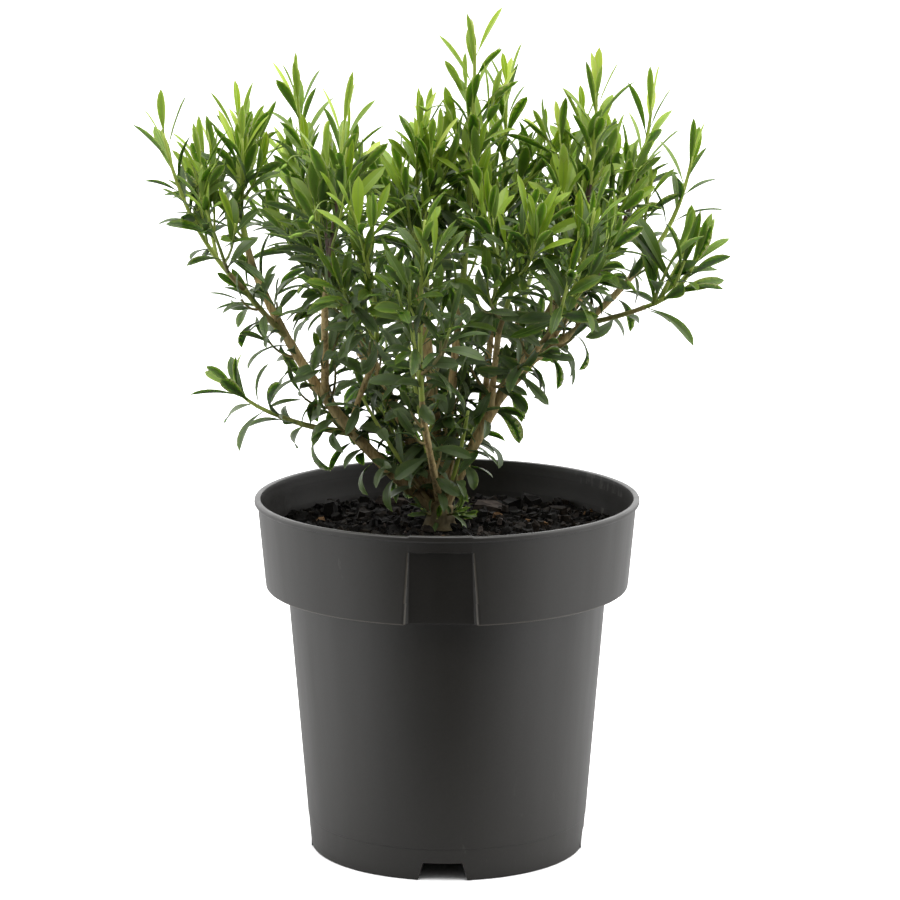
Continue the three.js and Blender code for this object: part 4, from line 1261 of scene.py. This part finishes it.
def bough_stems(limbs):
    """The boughs as bearers of old leaves, from where they are clear of the trunk."""
    stems = []
    for k, bough in enumerate(BOUGHS):
        openness, tip_age = LEAFY_BOUGHS.get(bough.name, BOUGH_LEAVES.usual)
        stem = Stem(limbs[bough.name], bough.foot, bough.tip, 0.0, BOUGH_LEAVES.spray + k, 0,
                    tip_age=tip_age)
        stem.openness = openness
        stem.bare_foot = (BOUGH_LEAVES.bare_at_trunk if bough.parent == "trunk"
                          else BOUGH_LEAVES.bare_at_fork)
        stems.append(stem)
    return stems


def make_stems(stems):
    """All green stems as one joined piece, browner at the foot and on some sprays purple."""
    brown, olive, _, lime, purple = range(len(STEM_LOOKS))
    sheet = Sheets()
    sides = 7
    for stem in stems:
        rings = max(6, int(stem.path.length / 5))
        shares = np.linspace(0, 1, rings)
        radii = lerp(stem.radius, stem.tip_radius, shares)
        age = lerp(stem.age, stem.tip_age, (np.arange(rings - 1) + 0.5) / rings)
        band = np.digitize(age, STEM_BANDS)
        if stem.look == "purple":
            band = np.where((band > brown) & (band < lime), purple, band)
        elif stem.look == "lime":
            band = np.where(band >= olive, lime, band)
        sheet.add(*tube(stem.path, radii, sides, shares), np.repeat(band, sides),
                  np.repeat([band[0], band[-1]], sides))
    piece = sheet.piece("green_stems", [new_material(*look) for look in STEM_LOOKS])
    adopt(piece, "leaves", *["foliage_" + row.name for row in SHOOTS + SPRIGS])


# Leaves

def leaves_on(stem):
    """Leaves up a stem in a spiral, ageing from its foot, smaller and upright in the tuft at its tip."""
    draw = Draws(stem.spray * 131 + 17 * stem.order + int(1000 * stem.path.length))
    openness = stem.openness or spread_round(1.0, 0.7, Draws(stem.spray * 29 + 3))
    path = stem.path
    size = stem.vigour
    tint = int(3 * draw())
    frames = 60
    across, beside = frames_along(path, np.linspace(0, 1, frames))
    place = stem.bare_foot + 4 * draw()
    turn = 2 * math.pi * draw()
    while place < path.length - 0.3:
        share = place / path.length
        age = lerp(stem.age, stem.tip_age, share)
        form = {key: float(np.interp(age, LEAF_AGES, values)) for key, values in LEAF_FORMS.items()}
        tuft = max(0.0, 1 - (path.length - place) / TUFT.zone)
        fresh = tuft * min(1, max(0, 2 * stem.tip_age - 1))
        shorter = lerp(1, TUFT.length, tuft**TUFT.shortening)
        length = size * form["length"] * shorter * spread_round(1, VARY.length, draw)
        angle = lerp(form["angle"], stem.tip_angle, tuft) + spread_round(0, VARY.angle, draw)
        old = max(0.0, 1 - age / VARY.old_age)
        index = int(share * (frames - 1))
        side = across[index] * math.cos(turn) + beside[index] * math.sin(turn)
        surface = 0.8 * lerp(stem.radius, stem.tip_radius, share)
        yield dict(
            root=path.point(share) + surface * side, along=path.tangent(share), side=side, length=length,
            width=size * form["width"] * lerp(1, TUFT.width, tuft) * spread_round(1, VARY.width, draw),
            angle=angle, bend=form["bend"] * lerp(1, TUFT.bend, tuft) * spread_round(1, VARY.bend, draw),
            twist=spread_round(0, VARY.twist + VARY.old_twist * old, draw),
            roll=spread_round(0, VARY.roll + VARY.old_roll * old, draw),
            droop=max(0, VARY.old_age - age) * VARY.droop * draw(),
            age=age + VARY.tip_age * fresh + spread_round(0, VARY.age, draw),
            tint=(tint + int(VARY.next_tint * draw())) % 3)
        turn += math.radians(spread_round(TWIG.angle_turn, VARY.turn, draw))
        spacing = size * form["spacing"] * openness * lerp(1, TUFT.spacing, tuft)
        place += spacing * spread_round(1, VARY.spacing, draw)


def width_profile(t):
    """Half width of a leaf along its length: a short stalk, widest past the middle, pointed."""
    rising, falling = 1.3, 0.78
    widest = rising / (rising + falling)
    blade = (t / widest) ** rising * ((1 - t) / (1 - widest)) ** falling
    return np.maximum(blade, LEAF.stalk * (1 - t))


def leaf_points(rows):
    """Points of many leaves at once: along each leaf, left edge, rib, right edge and underside."""
    t = np.linspace(0, 1, LEAF.segments + 1)
    along, side = rows["along"], rows["side"]
    angle = np.radians(rows["angle"])[:, None]
    heading = along * np.cos(angle) + side * np.sin(angle)
    heading[:, 2] -= rows["droop"]
    heading = unit(heading)
    face = along * np.sin(angle) - side * np.cos(angle)
    face = unit(face - heading * (face * heading).sum(-1, keepdims=True))
    roll = np.radians(rows["roll"])[:, None]
    face = face * np.cos(roll) + np.cross(heading, face) * np.sin(roll)
    right = np.cross(heading, face)[:, None]
    heading, face = heading[:, None], face[:, None]
    bend = np.radians(rows["bend"])[:, None] * (t[None] ** LEAF.bend_power)
    middle = (bend[:, 1:] + bend[:, :-1]) / 2
    step = rows["length"][:, None] / LEAF.segments

    def summed(steps):
        return np.concatenate([np.zeros((len(steps), 1)), np.cumsum(steps, axis=1)], axis=1)[..., None]

    centre = (rows["root"][:, None] + summed(np.cos(middle) * step) * heading
              - summed(np.sin(middle) * step) * face)
    ahead = np.cos(bend)[..., None] * heading - np.sin(bend)[..., None] * face
    up = np.cos(bend)[..., None] * face + np.sin(bend)[..., None] * heading
    twist = np.radians(rows["twist"])[:, None] * t[None]
    across = np.cos(twist)[..., None] * right + np.sin(twist)[..., None] * up
    up = np.cross(across, ahead)
    half = 0.5 * rows["width"][:, None] * width_profile(t)[None]
    rib = np.minimum(LEAF.rib, LEAF.rib_share * half)
    lift = (half - rib) * math.sin(math.radians(LEAF.fold))
    out = rib + (half - rib) * math.cos(math.radians(LEAF.fold))
    thick = LEAF.thickness * (1 - LEAF.tip_thinning * t)[None] * np.minimum(1, half / LEAF.thin_width)

    def column(sideways, upward):
        return centre + sideways[..., None] * across + upward[..., None] * up

    return np.stack([
        column(-out, lift), column(-rib, 0 * rib), column(rib, 0 * rib), column(out, lift),
        column(0 * rib, -thick - LEAF.keel)], axis=2)


def leaf_faces(count):
    """Faces of many leaves, as quads between stations, and for each the kind: blade, rib or underside."""
    pairs = [(0, 1), (1, 2), (2, 3), (3, 4), (4, 0)]
    kinds = np.array([0, 1, 0, 2, 2])
    quads = np.array([(s * 5 + a, s * 5 + b, (s + 1) * 5 + b, (s + 1) * 5 + a)
                      for s in range(LEAF.segments) for a, b in pairs])
    offsets = (np.arange(count) * 5 * (LEAF.segments + 1))[:, None, None]
    return (quads[None] + offsets).reshape(-1, 4), np.tile(kinds, count * LEAF.segments)


def make_leaf_piece(name, rows, materials):
    """The leaves of one age as one piece; the materials are three blade tints, the rib and the underside."""
    points = leaf_points(rows)
    quads, kinds = leaf_faces(len(points))
    tint = np.repeat(rows["tint"], 5 * LEAF.segments)
    slots = np.select([kinds == 0, kinds == 1], [tint, 3], 4)
    piece = mesh_piece(name, points.reshape(-1, 3), quads[:, ::-1], slots=slots, materials=materials)
    edge_points = np.empty(len(piece.data.edges) * 2, dtype=np.int32)
    piece.data.edges.foreach_get("vertices", edge_points)
    column = (edge_points % 5).reshape(-1, 2)
    margin = ((column == 0).all(axis=1)) | ((column == 3).all(axis=1))
    piece.data.edges.foreach_set("use_edge_sharp", margin)
    adopt(piece, "leaves")


def make_leaves(stems):
    leaves = [leaf for stem in stems for leaf in leaves_on(stem)]
    rows = {key: np.array([leaf[key] for leaf in leaves]) for key in leaves[0]}
    bands = np.digitize(rows["age"], LEAF_BANDS)
    for k, (age, tints, rib, under) in enumerate(LEAF_LOOKS):
        materials = [leaf_material(f"leaf_{age}_{n}", tint) for n, tint in enumerate(tints)]
        materials.append(leaf_material(f"leaf_{age}_rib", rib))
        materials.append(leaf_material(f"leaf_{age}_under", under, roughness=0.6))
        chosen = {key: values[bands == k] for key, values in rows.items()}
        make_leaf_piece(f"leaves_{age}", chosen, materials)


# Buds

def bud_shape(base, heading, size):
    """A pointed bud: a closed lathe along its heading."""
    length = BUDS.length * size
    side = unit(np.cross(heading, [0.3, 0.2, 1.0]))
    beside = np.cross(heading, side)
    angles = circle(BUDS.sides)[:, None]
    rings = [base + heading * length * at
             + BUDS.radius * size * width * (np.cos(angles) * side + np.sin(angles) * beside)
             for at, width in BUD_OUTLINE]
    return capped(rings, base, base + heading * length * 1.02)


def make_buds(stems):
    """Green buds on stalks that bow out and down from the shoots and rise again at the bud."""
    draw = Draws(BUDS.seed)
    sheet = Sheets()
    hosts = [stem for stem in stems if stem.tip_age > BUDS.least_tip_age and stem.order in (0, 1)]
    marks = np.linspace(0, 1, BUDS.stalk_rings)
    radii = lerp(BUDS.stalk_radius * 0.8, BUDS.stalk_radius * 1.3, marks)
    for _ in range(BUDS.count):
        host = hosts[int(len(hosts) * draw())]
        share = lerp(BUDS.first, BUDS.last, draw())
        start = host.path.point(share)
        turn = 2 * math.pi * draw()
        out = unit(np.array([math.cos(turn), math.sin(turn), 0.0]))
        reach = BUDS.stalk * spread_round(1, 0.7, draw)
        middle = start + host.path.tangent(share) * reach * BUDS.bow_along + out * reach * BUDS.bow_out
        end = start + out * reach + UP * reach * spread_round(-0.05, 0.5, draw)
        stalk = Path(start, middle, end)
        sheet.add(*tube(stalk, radii, BUDS.stalk_sides, marks))
        heading = unit(stalk.tangent(1.0) * 0.6 + UP * spread_round(0.5, 0.9, draw) + out * 0.3)
        sheet.add(*bud_shape(end, heading, spread_round(1, 0.4, draw)), 1, 1)
    piece = sheet.piece("flower_buds", [
        new_material("bud_stalk", (0.2, 0.28, 0.05), 0.5), leaf_material("bud_green", (0.24, 0.38, 0.05))])
    adopt(piece, "leaves")


# Stage, light and camera

def floor_material():
    """White floor, lit a little from below like a light table, except where something covers it. What
    the pot mirrors of it is dark in front and bright at the sides."""
    material = new_material("pale_floor", (0.9, 0.9, 0.9), 0.9, Specular_IOR_Level=0.0)
    nodes = Nodes(material)
    shader = nodes.tree.nodes["Principled BSDF"]
    shader.inputs["Emission Color"].default_value = (1, 1, 1, 1)
    uncovered = nodes.add("AmbientOcclusion", {"Distance": 0.12})["AO"]
    nodes.set(shader.inputs["Emission Strength"], nodes.span(uncovered, 0.3, 1.0, 0.0, 0.5))
    aside = nodes.add("Math", {0: nodes.coordinate("X")}, operation="ABSOLUTE")["Value"]
    way = nodes.add("Math", {0: aside, 1: 0.8, 2: nodes.coordinate("Y")}, operation="MULTIPLY_ADD")["Value"]
    near = nodes.span(way, -0.32, 0.06, 0.004, 0.54)
    bounce = nodes.add("BsdfDiffuse", {"Color": nodes.mix(near, (0, 0, 0), (1, 1, 1))})["BSDF"]
    seen = nodes.add("LightPath")["Is Camera Ray"]
    either = nodes.add("MixShader", {"Fac": seen, 1: bounce, 2: shader.outputs["BSDF"]})["Shader"]
    nodes.set(nodes.tree.nodes["Material Output"].inputs["Surface"], either)
    return material


def make_stage():
    size = 30.0
    corners = [(-size, -size, 0), (size, -size, 0), (size, size, 0), (-size, size, 0)]
    mesh = bpy.data.meshes.new("floor")
    mesh.from_pydata(corners, [], [(0, 1, 2, 3)])
    mesh.materials.append(floor_material())
    floor = link(bpy.data.objects.new("floor", mesh))


def make_world():
    """White surround, dimmer in front of the plant, so that the pot's sides shine and its front is dark."""
    world = bpy.data.worlds.new("studio")
    bpy.context.scene.world = world
    world.use_nodes = True
    nodes = Nodes(world)
    way = nodes.add("SeparateXYZ", {"Vector": nodes.add("TexCoord")["Generated"]})
    front = nodes.span(way["Y"], -0.97, 0.0, 0.06, 2.3, kind="SMOOTHSTEP")
    rightward = nodes.span(way["X"], -1, 1, 0.94, 1.14)
    seen = nodes.add("LightPath")["Is Camera Ray"]
    strength = nodes.add("Mix", {0: seen, 2: nodes.times(front, rightward), 3: 1.0})[0]
    background = nodes.tree.nodes["Background"]
    background.inputs["Color"].default_value = (1, 1, 1, 1)
    nodes.set(background.inputs["Strength"], strength)


def add_area(name, place, aim, size, power):
    light = bpy.data.lights.new(name, "AREA")
    light.size = size
    light.energy = power
    lamp = link(bpy.data.objects.new(name, light))
    lamp.location = place
    lamp.rotation_euler = (Vector(aim) - Vector(place)).to_track_quat("-Z", "Y").to_euler()


def make_camera():
    data = bpy.data.cameras.new("camera")
    data.lens = CAMERA.lens
    data.sensor_width = CAMERA.sensor
    data.clip_start = 0.05
    data.clip_end = 200.0
    camera = link(bpy.data.objects.new("camera", data))
    camera.location = (CAMERA.x * MM, -CAMERA.distance * MM, CAMERA.height * MM)
    camera.rotation_euler = (math.radians(90 - CAMERA.pitch), 0, 0)
    bpy.context.scene.camera = camera


def main():
    bark = bark_material()
    green_bark = young_bark_material()
    make_pot()
    make_mix()
    make_chips()
    limbs = make_limb_paths()
    make_trunk(limbs["trunk"], bark)
    for bough in BOUGHS:
        make_bough(bough, limbs[bough.name], green_bark if bough.name in GREEN_BOUGHS else bark)
    stems = grow_plant(limbs)
    make_stems(stems)
    make_leaves(stems + bough_stems(limbs))
    make_buds(stems)
    make_stage()
    make_world()
    add_area("overhead", (0.1, -0.7, 2.3), (0, 0, 0.3), 1.6, 36)
    make_camera()
    bpy.context.scene.view_settings.view_transform = "Standard"


main()
